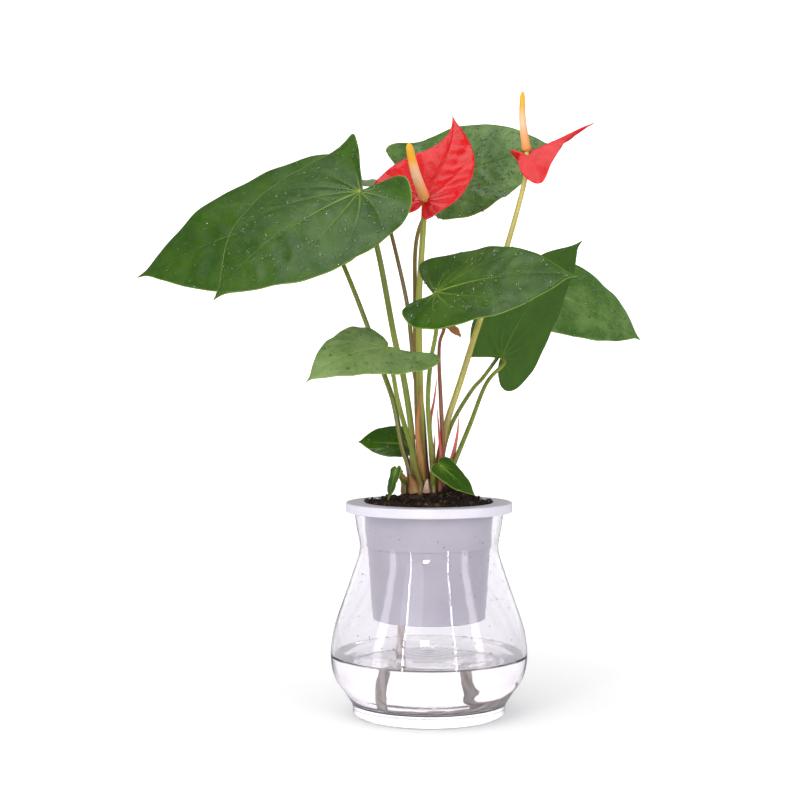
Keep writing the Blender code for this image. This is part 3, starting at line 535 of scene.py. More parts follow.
def tube_mesh(name, path, radii, sides, relief):
    """A closed round tube with domed ends. relief(share, angle) gives what to add to the radius."""
    path = np.asarray(path, float)
    radii = np.broadcast_to(np.asarray(radii, float), len(path))
    along, across, up = frames_along(path)
    angles = np.linspace(0.0, 2 * math.pi, sides, endpoint=False)
    shares = np.linspace(0.0, 1.0, len(path))
    spread = radii[:, None] + relief(shares[:, None], angles[None, :])
    circle = np.cos(angles)[:, None] * across[:, None, :] + np.sin(angles)[:, None] * up[:, None, :]
    rings = path[:, None, :] + spread[:, :, None] * circle
    dome = np.linspace(0.0, math.pi / 2, DOME_STEPS + 1)[1:-1]
    ends = []
    for at, sign, order in ((0, -1, -1), (-1, 1, 1)):
        out = sign * along[at] * radii[at] * DOME_HEIGHT
        caps = [path[at] + (rings[at] - path[at]) * math.cos(angle) + out * math.sin(angle) for angle in dome]
        ends.append(np.array(caps[::order]))
    rings = np.concatenate([ends[0], rings, ends[1]])
    shares = np.concatenate([np.zeros(len(dome)), shares, np.ones(len(dome))])
    tips = [path[0] - along[0] * radii[0] * DOME_HEIGHT, path[-1] + along[-1] * radii[-1] * DOME_HEIGHT]
    rows = len(rings)
    points = np.concatenate([rings.reshape(-1, 3), tips])
    faces = grid_faces(rows, sides)
    faces += [(rows * sides, (j + 1) % sides, j) for j in range(sides)]
    base = (rows - 1) * sides
    faces += [(rows * sides + 1, base + j, base + (j + 1) % sides) for j in range(sides)]
    share = np.concatenate([np.repeat(shares, sides), [0.0, 1.0]])
    turn = np.concatenate([np.tile(angles, rows), [0.0, 0.0]])
    return mesh_of(name, points, faces, share=share, turn=turn)


# The leaves and the spathes

# Veins from the joint: direction at the joint and at the edge, in degrees from the tip, and share of the way
BASAL_VEINS = ((34, 22, 0.90), (62, 44, 0.93), (92, 74, 0.94), (124, 112, 0.93), (152, 147, 0.88))
# Where the veins from the midrib start, as shares of the length
SIDE_VEINS = (0.16, 0.29, 0.42, 0.54, 0.66, 0.77, 0.86)
SIDE_STRENGTH = 0.30
VEIN_WIDTH = 0.0013
RIB_WIDTH = 0.0010
JOINT_SPOT = 0.0011
QUILT_REACH = 0.0045
EDGE_WAVES = ((5, 1.0), (9, 0.6), (16, 0.35))


def polar_edge(blade, side):
    """Direction from the joint, in degrees from the tip, and distance of one half's outline."""
    outline = blade.half_outline(side, 160)
    angles = np.degrees(np.arctan2(outline[:, 1], outline[:, 0]))
    keep = np.maximum.accumulate(angles) <= angles + 1e-6
    return angles[keep], np.linalg.norm(outline[keep], axis=1)


def bezier(start, middle, end, count=14):
    t = np.linspace(0.0, 1.0, count)[:, None]
    return start * (1 - t) ** 2 + middle * (2 * t * (1 - t)) + end * t**2


def vein_lines(blade, side):
    """The flat curves of one half's veins, each with its strength at its root."""
    angles, reaches = polar_edge(blade, side)
    lines = []
    for first, last, reach in BASAL_VEINS:
        turn, start = math.radians(last), math.radians(first)
        length = np.interp(last, angles, reaches) * reach
        end = np.array([math.cos(turn), math.sin(turn)]) * length
        middle = np.array([math.cos(start), math.sin(start)]) * length * 0.5
        lines.append((bezier(np.zeros(2), middle, end), 1.0))
    outline = blade.half_outline(side, 160)
    front = outline[outline[:, 0] > 0][::-1]
    for share in SIDE_VEINS:
        root = np.array([share * blade.length, 0.0])
        ahead = (share + 0.17 * (1 - share) + 0.03) * blade.length
        edge = np.interp(ahead, front[:, 0], front[:, 1])
        end = np.array([ahead, edge * 0.93])
        middle = np.array([root[0] + (ahead - root[0]) * 0.40, edge * 0.55])
        lines.append((bezier(root, middle, end), SIDE_STRENGTH))
    sign = np.array([1.0, 1.0 if side == 0 else -1.0])
    return [(line * sign, strength) for line, strength in lines]


def vein_field(blade, u, v):
    """At each flat point: the signed distance to the nearest vein, and that vein's strength there."""
    best = np.full(len(u), 1.0)
    signed = np.full(len(u), 1.0)
    strong = np.zeros(len(u))
    points = np.stack([u, v], axis=1)
    for side in (0, 1):
        for line, strength in vein_lines(blade, side):
            for k in range(len(line) - 1):
                a, b = line[k], line[k + 1]
                t = np.clip(((points - a) @ (b - a)) / np.dot(b - a, b - a), 0.0, 1.0)
                away = points - (a + t[:, None] * (b - a))
                distance = np.hypot(away[:, 0], away[:, 1])
                nearer = distance < best
                cross = (b - a)[0] * away[:, 1] - (b - a)[1] * away[:, 0]
                best = np.where(nearer, distance, best)
                signed = np.where(nearer, np.where(cross >= 0, distance, -distance), signed)
                fade = strength * (1.0 - (k + t) / (len(line) - 1)) ** 1.1
                strong = np.where(nearer, fade, strong)
    return signed, best, strong


def blade_mesh(blade, thickness, count, rings, vein_depth, quilt, ripple, seed):
    """A closed thin shell in the blade's shape. Veins sink into its upper face, the fields between them
    swell, and its edge ripples."""
    outline = blade.outline(count)
    n = len(outline)
    shares = np.linspace(0.0, 1.0, rings + 1)[1:]
    flat = np.concatenate([np.zeros((1, 2)), *[outline * share for share in shares]])
    ring = np.concatenate([[0.0], np.repeat(shares, n)])
    turn = np.concatenate([[0.0], np.tile(np.arange(n) / n * 2 * math.pi, rings)])
    u, v = flat[:, 0], flat[:, 1]
    signed, away, strong = vein_field(blade, u, v)
    rib_width = RIB_WIDTH * np.clip(1.0 - 1.15 * u / blade.length, 0.12, 1.0)
    rib = np.where(u > 0, np.abs(v) / rib_width, np.hypot(u, v) / JOINT_SPOT)
    inside = np.clip((1.0 - ring) / 0.12, 0.0, 1.0)
    sunk = vein_depth * (strong * np.exp(-((away / VEIN_WIDTH) ** 2)) + 1.2 * np.exp(-(rib / 1.4) ** 2))
    swell = quilt * (1.0 - np.exp(-((away / QUILT_REACH) ** 2))) * (1.0 - np.exp(-((rib / 5.0) ** 2)))
    rng = np.random.default_rng(seed)
    phase = rng.uniform(0.0, 2 * math.pi, 3)
    edge_waves = sum(height * np.sin(k * turn + start) for (k, height), start in zip(EDGE_WAVES, phase))
    calm_joint = np.clip(np.abs(np.sin(turn / 2)) * 3, 0, 1)
    relief = (swell - sunk) * inside + ripple * ring**4 * edge_waves * calm_joint
    middle = blade.bent(u, v) + np.multiply.outer(relief, blade.normal)
    step = blade.length * 1e-3
    across = blade.bent(u, v + step) - blade.bent(u, v - step)
    ahead = blade.bent(u + step, v) - blade.bent(u - step, v)
    normals = np.cross(across, ahead)
    normals /= np.linalg.norm(normals, axis=1)[:, None]
    half = thickness / 2 * (0.35 + 0.65 * np.clip((1.0 - ring) / 0.03, 0.0, 1.0))[:, None]
    points = np.concatenate([middle + normals * half, middle - normals * half])
    total = len(middle)
    upper = [(0, 1 + (i + 1) % n, 1 + i) for i in range(n)]
    upper += [tuple(1 + k for k in face) for face in grid_faces(rings, n)]
    lower = [tuple(total + k for k in face[::-1]) for face in upper]
    last = 1 + (rings - 1) * n
    rim = [(last + i, last + (i + 1) % n, total + last + (i + 1) % n, total + last + i) for i in range(n)]
    reaches = np.tile(np.linalg.norm(outline, axis=1), rings)
    margin = (1.0 - ring) * np.concatenate([[blade.width / 2], reaches])
    twice = lambda values: np.concatenate([values, values])
    return mesh_of(
        f"fine_{blade.name}",
        points,
        upper + lower + rim,
        rib=twice(np.where(v < 0, -rib, rib)),
        vein=twice(signed),
        away=twice(away),
        strong=twice(strong),
        margin=twice(margin),
        under=np.repeat([0.0, 1.0], total),
        along=twice(np.clip(u / blade.length, -0.3, 1.0)),
    )


def leaf_material(name, dark, light, vein, under, rough, edge):
    """Waxy leaf skin: mottled green, pale veins and a thin yellow edge, with a duller paler underside."""
    leaf = Nodes(name, Specular_IOR_Level=0.26)
    mottle = leaf.noise(55.0, 4.0, 0.6)
    fine = leaf.noise(420.0, 3.0, 0.6)
    skin = leaf.mix(leaf.between(mottle, 0.35, 0.68), dark, light)
    skin = leaf.mix(leaf.between(fine, 0.45, 0.8, 0.0, 0.35), skin, tuple(min(1.0, c * 1.5) for c in light))
    away = leaf.attribute("away")
    strong = leaf.attribute("strong")
    line = leaf.math("ABSOLUTE", leaf.attribute("vein"))
    width = leaf.math("MULTIPLY_ADD", strong, 0.00055, 0.00018)
    on_vein = leaf.between(leaf.math("DIVIDE", line, width), 0.4, 1.3, 1.0, 0.0)
    near = leaf.between(away, 0.0016, 0.0028, 1.0, 0.0)
    veins = leaf.math("MULTIPLY", leaf.math("MULTIPLY", on_vein, near), leaf.math("POWER", strong, 1.4))
    rib = leaf.between(leaf.math("ABSOLUTE", leaf.attribute("rib")), 0.45, 1.15, 1.0, 0.0)
    rib = leaf.math("MULTIPLY", rib, leaf.between(leaf.attribute("along"), 0.05, 0.70, 0.85, 0.10))
    lines = leaf.math("MAXIMUM", leaf.math("MULTIPLY", veins, 0.60), rib)
    skin = leaf.mix(lines, skin, vein)
    margin = leaf.between(leaf.attribute("margin"), 0.0003, 0.0009, 0.7, 0.0)
    skin = leaf.mix(margin, skin, edge)
    below = leaf.mix(leaf.between(mottle, 0.3, 0.7), under, tuple(c * 1.25 for c in under))
    below = leaf.mix(leaf.math("MULTIPLY", lines, 0.8), below, vein)
    leaf.set("Base Color", leaf.mix(leaf.attribute("under"), skin, below))
    shine = leaf.between(leaf.noise(90.0, 3.0), 0.3, 0.75, rough - 0.07, rough + 0.12)
    leaf.set("Roughness", leaf.math("MULTIPLY_ADD", leaf.attribute("under"), 0.18, shine))
    leaf.bump(leaf.math("ADD", leaf.noise(900.0, 2.0), leaf.noise(230.0, 3.0)), 0.35, 0.0002)
    return leaf.material


def spathe_material():
    """Thick glossy red wax, mottled in two reds and a little lighter at its edge, with shade painted darker
    along its sunken veins.
    """
    wax = Nodes("spathe_red", Specular_IOR_Level=0.38, Subsurface_Weight=0.10)
    wax.set("Subsurface Radius", (0.004, 0.0006, 0.0005))
    wax.shader.inputs["Subsurface Scale"].default_value = 1.0
    mottle = wax.between(wax.noise(90.0, 3.0), 0.35, 0.7)
    skin = wax.mix(mottle, (0.57, 0.002, 0.004), (0.67, 0.006, 0.009))
    # Painted shade: the lines along the sunken veins are darkened, as shade in the grooves
    line = wax.between(wax.math("ABSOLUTE", wax.attribute("vein")), 0.0002, 0.0009, 1.0, 0.0)
    near = wax.between(wax.attribute("away"), 0.0012, 0.0024, 1.0, 0.0)
    skin = wax.mix(wax.math("MULTIPLY", wax.math("MULTIPLY", line, near), 0.45), skin, (0.50, 0.003, 0.006))
    margin = wax.between(wax.attribute("margin"), 0.0003, 0.0010, 0.35, 0.0)
    skin = wax.mix(margin, skin, (0.85, 0.06, 0.06))
    wax.set("Base Color", skin)
    wax.set("Roughness", wax.between(wax.noise(140.0, 3.0), 0.3, 0.7, 0.20, 0.34))
    wax.bump(wax.math("ADD", wax.noise(700.0, 2.0), wax.noise(180.0, 3.0)), 0.4, 0.0003)
    return wax.material


def stem_material(name, foot, body, streak):
    """A stem's skin: streaked along its length, darker at its foot and with small flecks."""
    stem = Nodes(name, Specular_IOR_Level=0.45)
    share = stem.attribute("share")
    wide = stem.noise(70.0, 3.0, 0.6, stem.stretched((1.0, 1.0, 0.25)))
    skin = stem.mix(stem.between(wide, 0.35, 0.7), body, streak)
    flecks = stem.noise(900.0, 2.0, 0.6, stem.stretched((1.0, 1.0, 0.35)))
    skin = stem.mix(stem.between(flecks, 0.60, 0.75, 0.0, 0.35), skin, foot)
    stem.set("Base Color", stem.mix(stem.between(share, 0.02, 0.30, 0.85, 0.0), skin, foot))
    stem.set("Roughness", stem.between(wide, 0.3, 0.7, 0.30, 0.46))
    stem.bump(stem.noise(600.0, 2.0, 0.6, stem.stretched((1.0, 1.0, 0.15))), 0.35, 0.0003)
    return stem.material


# Dark and light skin, veins, underside, roughness and edge
YELLOW_EDGE = (0.26, 0.34, 0.04)
LEAF_FINISHES = {
    "leaf_green": ((0.022, 0.068, 0.003), (0.044, 0.108, 0.007), (0.20, 0.30, 0.035), (0.10, 0.23, 0.035),
                   0.33, YELLOW_EDGE),
    "leaf_bright": ((0.019, 0.066, 0.001), (0.037, 0.098, 0.002), (0.17, 0.29, 0.025), (0.09, 0.22, 0.02),
                    0.33, YELLOW_EDGE),
    # Painted shade: this finish is darker and more saturated than the leaf's own green, standing in for shade
    # and light shining through a blade seen from below
    "leaf_painted_shade_deep": ((0.015, 0.060, 0.001), (0.030, 0.090, 0.002), (0.08, 0.19, 0.012), (0.036, 0.098, 0.004),
                  0.33, YELLOW_EDGE),
    # Painted sheen: this finish is paler and greyer than the leaf's own green, standing in for a reflection
    # of the bright surroundings on the blade
    "leaf_pale": ((0.135, 0.220, 0.060), (0.205, 0.300, 0.100), (0.25, 0.34, 0.09), (0.18, 0.28, 0.08),
                  0.33, YELLOW_EDGE),
    # Painted sheen: this finish's lighter colours stand in for a whitish reflection on the wet blade; its
    # lower roughness is the blade's own wet gloss
    "leaf_painted_sheen_wet": ((0.050, 0.125, 0.018), (0.120, 0.215, 0.055), (0.20, 0.32, 0.05), (0.10, 0.23, 0.035),
                 0.28, YELLOW_EDGE),
    "leaf_bronze": ((0.16, 0.085, 0.020), (0.26, 0.13, 0.025), (0.42, 0.24, 0.06), (0.30, 0.12, 0.03),
                    0.33, (0.55, 0.20, 0.03)),
}
# Outline points to a half, rings, vein depth, quilting, ripple and finish
BLADE_LOOKS = {
    "leaf_front_left": (150, 44, 0.00040, 0.00055, 0.0009, "leaf_green"),
    "leaf_back_left": (150, 40, 0.00035, 0.00050, 0.0010, "leaf_bright"),
    "leaf_upper_back": (130, 40, 0.00035, 0.00060, 0.0009, "leaf_painted_sheen_wet"),
    "leaf_middle_right": (130, 40, 0.00040, 0.00050, 0.0007, "leaf_green"),
    "leaf_lower_right": (120, 36, 0.00030, 0.00040, 0.0006, "leaf_painted_shade_deep"),
    "leaf_middle_left": (110, 32, 0.00035, 0.00040, 0.0007, "leaf_pale"),
    "leaf_far_right": (110, 32, 0.00030, 0.00045, 0.0007, "leaf_painted_sheen_wet"),
    "leaf_low_left": (70, 18, 0.00015, 0.00020, 0.0004, "leaf_bright"),
    "leaf_soil_left": (60, 16, 0.00010, 0.00015, 0.0003, "leaf_green"),
    "leaf_soil_right": (60, 16, 0.00012, 0.00015, 0.0003, "leaf_bright"),
    "leaf_behind_flower": (60, 16, 0.00015, 0.00015, 0.0003, "leaf_pale"),
    "leaf_young_bronze": (60, 16, 0.00015, 0.00015, 0.0004, "leaf_bronze"),
    "spathe_front": (120, 36, 0.00045, 0.00075, 0.0006, "red"),
    "spathe_right": (110, 32, 0.00030, 0.00045, 0.0004, "red"),
}


def make_blades(blades):
    finish = {name: leaf_material(name, *colours) for name, colours in LEAF_FINISHES.items()}
    finish["red"] = spathe_material()
    made = {}
    for seed, (name, look) in enumerate(BLADE_LOOKS.items()):
        count, rings, depth, quilt, ripple, skin = look
        thickness = SPATHE_THICKNESS if name.startswith("spathe") else BLADE_THICKNESS
        mesh = blade_mesh(blades[name], thickness, count, rings, depth, quilt, ripple, seed)
        made[name] = add_piece(f"fine_{name}", mesh, finish[skin], (name,))
    return made


# Water drops

DROP_SIDES, DROP_ROWS = 12, 4


def drop_shape(sides, rows):
    """A low dome with a closed flat base, one across and half as high."""
    angles = np.linspace(0.0, 2 * math.pi, sides, endpoint=False)
    tilt = np.linspace(math.pi / 2, 0.0, rows + 1)[:-1]
    rings = [
        np.stack([
            np.cos(angles) * math.sin(t),
            np.sin(angles) * math.sin(t),
            np.full(sides, 0.5 * math.cos(t)),
        ], axis=1)
        for t in tilt
    ]
    points = np.concatenate([*rings, [[0.0, 0.0, 0.5], [0.0, 0.0, -0.04]]])
    faces = grid_faces(rows, sides)
    top = (rows - 1) * sides
    faces += [(top + j, top + (j + 1) % sides, rows * sides) for j in range(sides)]
    faces += [((j + 1) % sides, j, rows * sides + 1) for j in range(sides)]
    return points, faces


def scatter_on(piece, count, rng, accept):
    """Random places and normals on the faces of a piece that accept(centres, normals) lets through."""
    mesh = piece.data
    total = len(mesh.polygons)
    areas, centres, normals = np.empty(total), np.empty(total * 3), np.empty(total * 3)
    mesh.polygons.foreach_get("area", areas)
    mesh.polygons.foreach_get("center", centres)
    mesh.polygons.foreach_get("normal", normals)
    centres, normals = centres.reshape(-1, 3), normals.reshape(-1, 3)
    weights = areas * accept(centres, normals)
    chosen = rng.choice(total, size=count, p=weights / weights.sum())
    spread = np.sqrt(areas[chosen])[:, None] * rng.uniform(-0.4, 0.4, (count, 3))
    spread -= normals[chosen] * (spread * normals[chosen]).sum(axis=1)[:, None]
    return centres[chosen] + spread, normals[chosen]


def drops_mesh(name, places, normals, radii, rng):
    """Drops at the places, each lying on its normal and drawn out a little downhill."""
    shape, faces = drop_shape(DROP_SIDES, DROP_ROWS)
    points, all_faces = [], []
    for k, (place, normal, radius) in enumerate(zip(places, normals, radii)):
        down = np.array([0.0, 0.0, -1.0]) + rng.normal(0.0, 0.25, 3)
        down -= normal * np.dot(down, normal)
        down /= np.linalg.norm(down)
        aside = np.cross(normal, down)
        long = 1.0 + 0.5 * rng.random() ** 2
        uneven = 1.0 + 0.14 * np.sin(2 * np.arctan2(shape[:, 1], shape[:, 0]) + rng.uniform(0, 6.28))
        local = shape * np.stack([uneven * long, uneven, np.ones(len(shape))], axis=1) * radius
        points.append(place + local[:, :1] * down + local[:, 1:2] * aside + local[:, 2:] * normal)
        all_faces += [tuple(k * len(shape) + i for i in face) for face in faces]
    return mesh_of(name, np.concatenate(points), all_faces)


def dew_material(name, colour):
    """Clear drops, coloured by what lies under them, with sharp bright highlights."""
    dew = Nodes(name, Roughness=0.05, Specular_IOR_Level=0.9, Alpha=0.5)
    cloud = dew.between(dew.noise(500.0, 2.0), 0.35, 0.65)
    dew.set("Base Color", dew.mix(cloud, colour, tuple(c * 1.6 for c in colour)))
    return dew.material


def make_drops(blades, leaves):
    dew = dew_material("dew", (0.080, 0.150, 0.045))
    red_dew = dew_material("red_dew", (0.62, 0.060, 0.055))
    counts = {
        "leaf_front_left": (430, 0.0014), "leaf_back_left": (190, 0.0011), "leaf_upper_back": (640, 0.0014),
        "leaf_middle_right": (200, 0.0015), "leaf_middle_left": (90, 0.0011), "leaf_far_right": (150, 0.0013),
        "leaf_low_left": (26, 0.0009), "spathe_front": (70, 0.0010), "spathe_right": (40, 0.0008),
        "leaf_soil_right": (8, 0.0008), "leaf_lower_right": (10, 0.0008),
    }
    for seed, (name, (count, largest)) in enumerate(counts.items()):
        rng = np.random.default_rng(100 + seed)
        up = blades[name].normal
        places, normals = scatter_on(leaves[name], count, rng, lambda centres, normals: (normals @ up) > 0.35)
        radii = largest * (0.30 + 0.70 * rng.random(count) ** 3)
        mesh = drops_mesh(f"drops_{name}", places, normals, radii, rng)
        add_piece(f"drops_{name}", mesh, red_dew if name.startswith("spathe") else dew)


# Stems, spadices and sheaths

def stem_path(stem, blades, count=70):
    """The stem's smooth route, from inside the crown to its blade's underside."""
    blade = blades[stem.carries]
    foot = (*stem.foot, CROWN_TOP - 0.0030)
    above = (*stem.foot, CROWN_TOP + 0.0030)
    under = blade.joint - blade.normal * 0.0045 - blade.along * 0.0008
    return smooth_curve([foot, above, *stem.route, under, blade.joint], count)


def stem_groove(share, angle):
    """A shallow groove along one side that stops short of the blade."""
    return -0.00022 * np.exp(-((np.mod(angle, 2 * math.pi) - math.pi) / 0.5) ** 2) * (share < 0.93)


def make_stems(blades):
    green = stem_material("stem_green", (0.20, 0.12, 0.03), (0.155, 0.20, 0.022), (0.25, 0.29, 0.04))
    brown = stem_material("stem_brown", (0.14, 0.05, 0.02), (0.17, 0.12, 0.025), (0.24, 0.17, 0.035))
    young = stem_material("stem_young", (0.18, 0.06, 0.03), (0.20, 0.060, 0.030), (0.28, 0.10, 0.04))
    flower = stem_material("peduncle", (0.24, 0.16, 0.04), (0.26, 0.29, 0.035), (0.38, 0.38, 0.06))
    ripe = stem_material("peduncle_pale", (0.22, 0.15, 0.04), (0.42, 0.36, 0.08), (0.52, 0.46, 0.12))
    finishes = {
        "petiole_behind_flower": brown, "petiole_upper_back": brown, "petiole_young": young,
        "peduncle_front": flower, "peduncle_right": ripe,
    }
    for stem in STEMS:
        path = stem_path(stem, blades)
        shares = np.linspace(0.0, 1.0, len(path))
        radii = stem.foot_radius + (stem.end_radius - stem.foot_radius) * shares
        length = np.linalg.norm(np.diff(path, axis=0), axis=1).sum()
        knuckle = np.exp(-(((1.0 - shares) * length - 0.007) / 0.0045) ** 2)
        radii = radii * (1.0 + 0.16 * knuckle) * (1.0 + 0.45 * np.exp(-((shares * length) / 0.010) ** 2))
        mesh = tube_mesh(f"fine_{stem.name}", path, radii, 20, stem_groove)
        add_piece(f"fine_{stem.name}", mesh, finishes.get(stem.name, green), (stem.name,))


def spadix_material():
    """The flower spike: orange at its foot, cream in the middle, yellow at its top, set with tiny florets,
    with shade painted darker in the hollows between them.
    """
    spike = Nodes("spadix_orange", Specular_IOR_Level=0.4, Subsurface_Weight=0.15)
    spike.set("Subsurface Radius", (0.002, 0.001, 0.0005))
    spike.shader.inputs["Subsurface Scale"].default_value = 1.0
    share = spike.attribute("share")
    colour = spike.ramp(
        share, (0.0, (0.82, 0.30, 0.08)), (0.22, (0.90, 0.42, 0.17)), (0.45, (0.92, 0.60, 0.38)),
        (0.62, (0.93, 0.56, 0.26)), (0.74, (0.93, 0.45, 0.03)), (1.0, (0.93, 0.48, 0.03)))
    # Painted shade: the hollows between the florets are mixed towards a dark brown
    floret_gap_shade = spike.between(spike.attribute("floret"), 0.1, 0.75)
    spike.set("Base Color", spike.mix(floret_gap_shade, spike.mix(0.35, colour, (0.55, 0.16, 0.03)), colour))
    spike.set("Roughness", spike.between(spike.noise(500.0, 2.0), 0.3, 0.7, 0.42, 0.60))
    spike.bump(spike.noise(1800.0, 2.0), 0.3, 0.0001)
    return spike.material


def floret(share, angle, turns=10, rows=24):
    """Height of the florets, from 0 between them to 1 at their middles, set in crossing spirals."""
    one = np.cos(turns * angle + rows * 2 * math.pi * share)
    other = np.cos(turns * angle - rows * 2 * math.pi * share)
    return np.clip(0.5 + 0.5 * one * other, 0.0, 1.0)


def make_spadices():
    orange = spadix_material()
    for name, (foot, top, foot_radius, top_radius) in SPADICES.items():
        foot, top = np.array(foot), np.array(top)
        shares = np.linspace(0.0, 1.0, 110)
        bow = np.cross(top - foot, (0.0, 1.0, 0.0)) * 0.035
        bend = np.outer(np.sin(math.pi * shares), bow)
        path = foot + np.outer(shares, top - foot) + bend + (0.0, 0.0, RIM_TOP)
        radii = foot_radius + (top_radius - foot_radius) * shares
        end = np.clip((1.0 - shares) / 0.10, 0.0, 1.0)
        radii = radii * np.sqrt(1.0 - (1.0 - end) ** 2 * 0.75)
        bumps = lambda share, angle: 0.00034 * (floret(share, angle) - 0.6)
        mesh = tube_mesh(f"fine_{name}", path, radii, 52, bumps)
        add_from_turn(mesh, "floret", floret)
        add_piece(f"fine_{name}", mesh, orange, (name,))


def sheath_mesh(name, path, widths, curls, facing, thickness=0.00030, columns=11):
    """A papery sheath: a strip curled about its path, from a wide foot to a point."""
    along, _, _ = frames_along(path)
    facing = np.asarray(facing, float)
    rings = []
    for centre, direction, width, curl in zip(path, along, widths, curls):
        out = facing - direction * np.dot(facing, direction)
        out /= np.linalg.norm(out)
        aside = np.cross(direction, out)
        radius = width / (2 * math.sin(min(curl, math.pi / 2)))
        angles = np.linspace(-curl, curl, columns)
        arc = np.cos(angles)[:, None] * out + np.sin(angles)[:, None] * aside
        edge = 1.0 + 0.06 * np.sin(np.arange(columns) * 2.1)[:, None]
        middle = centre - out * radius * math.cos(curl) * 0.6
        outer = middle + arc * radius * edge
        inner = middle + arc * (radius * edge - thickness)
        rings.append(np.concatenate([outer, inner[::-1]]))
    sides = 2 * columns
    rows = len(rings)
    points = np.concatenate(rings)
    faces = grid_faces(rows, sides)
    faces.append(tuple(range(sides))[::-1])
    faces.append(tuple((rows - 1) * sides + k for k in range(sides)))
    share = np.repeat(np.linspace(0.0, 1.0, rows), sides)
    return mesh_of(name, points, faces, share=share)


def sheath_material(name, foot, body, tip, rough=0.5):
    """Thin papery skin with fine streaks along it."""
    paper = Nodes(name, Specular_IOR_Level=0.35, Subsurface_Weight=0.1)
    paper.set("Subsurface Radius", (0.002, 0.001, 0.0006))
    paper.shader.inputs["Subsurface Scale"].default_value = 1.0
    streak = paper.noise(500.0, 4.0, 0.65, paper.stretched((1.0, 1.0, 0.10)))
    blotch = paper.noise(160.0, 3.0)
    skin = paper.ramp(paper.attribute("share"), (0.0, foot), (0.45, body), (1.0, tip))
    skin = paper.mix(paper.between(streak, 0.42, 0.70, 0.0, 0.65), skin, foot)
    skin = paper.mix(paper.between(blotch, 0.55, 0.75, 0.0, 0.5), skin, tip)
    paper.set("Base Color", skin)
    paper.set("Roughness", paper.between(streak, 0.3, 0.7, rough - 0.1, rough + 0.15))
    paper.bump(streak, 0.6, 0.0004)
    return paper.material


# Each sheath's width and the way its back faces, then its colours from foot to tip
SHEATH_LOOKS = {
    "sheath_pink": (0.0042, (0.5, -1.0, 0.0),
        (0.45, 0.14, 0.07), (0.62, 0.16, 0.12), (0.68, 0.20, 0.16)),
    "sheath_coral": (0.0046, (0.8, -0.8, 0.1),
        (0.52, 0.22, 0.12), (0.75, 0.17, 0.13), (0.72, 0.10, 0.10)),
    "sheath_crimson": (0.0030, (-0.4, -1.0, 0.0),
        (0.30, 0.10, 0.06), (0.48, 0.07, 0.05), (0.55, 0.06, 0.05)),
    "sheath_tan": (0.0052, (-0.3, -1.0, 0.0),
        (0.40, 0.22, 0.06), (0.58, 0.26, 0.08), (0.60, 0.18, 0.08)),
    "sheath_straw": (0.0036, (0.3, -1.0, 0.0),
        (0.48, 0.32, 0.10), (0.62, 0.40, 0.14), (0.60, 0.26, 0.14)),
    "sheath_dried_left": (0.0078, (-0.7, -0.8, 0.2),
        (0.26, 0.13, 0.04), (0.55, 0.33, 0.09), (0.30, 0.09, 0.04)),
    "sheath_dried_front": (0.0080, (-0.3, -1.0, 0.2),
        (0.40, 0.22, 0.06), (0.34, 0.13, 0.05), (0.20, 0.06, 0.03)),
    "new_shoot": (0.0050, (0.1, -1.0, 0.1),
        (0.35, 0.17, 0.10), (0.62, 0.38, 0.32), (0.75, 0.55, 0.50)),
}


def make_sheaths():
    for name, (width, facing, *colours) in SHEATH_LOOKS.items():
        foot, route, _, _ = SHEATHS[name]
        start = (*foot, CROWN_TOP - 0.0020)
        path = smooth_curve([start, *[(x, y, z + RIM_TOP) for x, y, z in route]], 36)
        share = np.linspace(0.0, 1.0, len(path))
        widths = width * np.clip((1.0 - share) ** 0.7 + 0.04, 0.05, 1.0)
        curls = np.interp(share, (0.0, 1.0), (1.9, 1.1))
        material = sheath_material(name, *colours)
        mesh = sheath_mesh(f"fine_{name}", path, widths, curls, facing)
        add_piece(f"fine_{name}", mesh, material, (name,))


# The crown and the soil

def waves(points, size, octaves, seed):
    """Smooth noise about 0: plane waves in random directions, each octave half the size and height."""
    rng = np.random.default_rng(seed)
    total = np.zeros(len(points))
    for octave in range(octaves):
        directions = rng.normal(size=(10, 3))
        directions /= np.linalg.norm(directions, axis=1)[:, None]
        phases = rng.uniform(0.0, 2 * math.pi, 10)
        reach = 2 * math.pi * 2**octave / size
        total += np.sin(points @ directions.T * reach + phases).sum(axis=1) / 2**octave / 4.5
    return total


def ground(x, y):
    """Height of the soil over the rim: a hill right of the middle, falling to the wall."""
    hill = 0.0092 * np.exp(-(((x - 0.006) / 0.020) ** 2 + ((y + 0.004) / 0.019) ** 2))
    ridge = 0.0030 * np.exp(-(((x + 0.024) / 0.010) ** 2 + ((y + 0.002) / 0.018) ** 2))
    right = 0.0038 * np.exp(-(((x - 0.020) / 0.010) ** 2 + ((y + 0.006) / 0.016) ** 2))
    return -0.0015 + hill + ridge + right


def soil_material(name, dark, light):
    """Damp dark peat; each crumb has its own tone."""
    peat = Nodes(name, Specular_IOR_Level=0.3)
    mottle = peat.noise(700.0, 4.0, 0.7)
    skin = peat.mix(peat.between(mottle, 0.35, 0.72), dark, light)
    tone = peat.attribute("tone")
    skin = peat.mix(peat.between(tone, 0.55, 1.0, 0.0, 0.8), skin, (0.085, 0.048, 0.026))
    skin = peat.mix(peat.between(tone, 0.93, 1.0, 0.0, 0.9), skin, (0.20, 0.115, 0.055))
    peat.set("Base Color", skin)
    peat.set("Roughness", peat.between(mottle, 0.3, 0.7, 0.72, 0.95))
    peat.bump(peat.noise(1500.0, 4.0, 0.7), 0.8, 0.0005)
    return peat.material


def crumb_shape(level):
    work = bmesh.new()
    bmesh.ops.create_icosphere(work, subdivisions=level, radius=1.0)
    points = np.array([vert.co[:] for vert in work.verts])
    faces = [tuple(vert.index for vert in face.verts) for face in work.faces]
    work.free()
    return points, faces


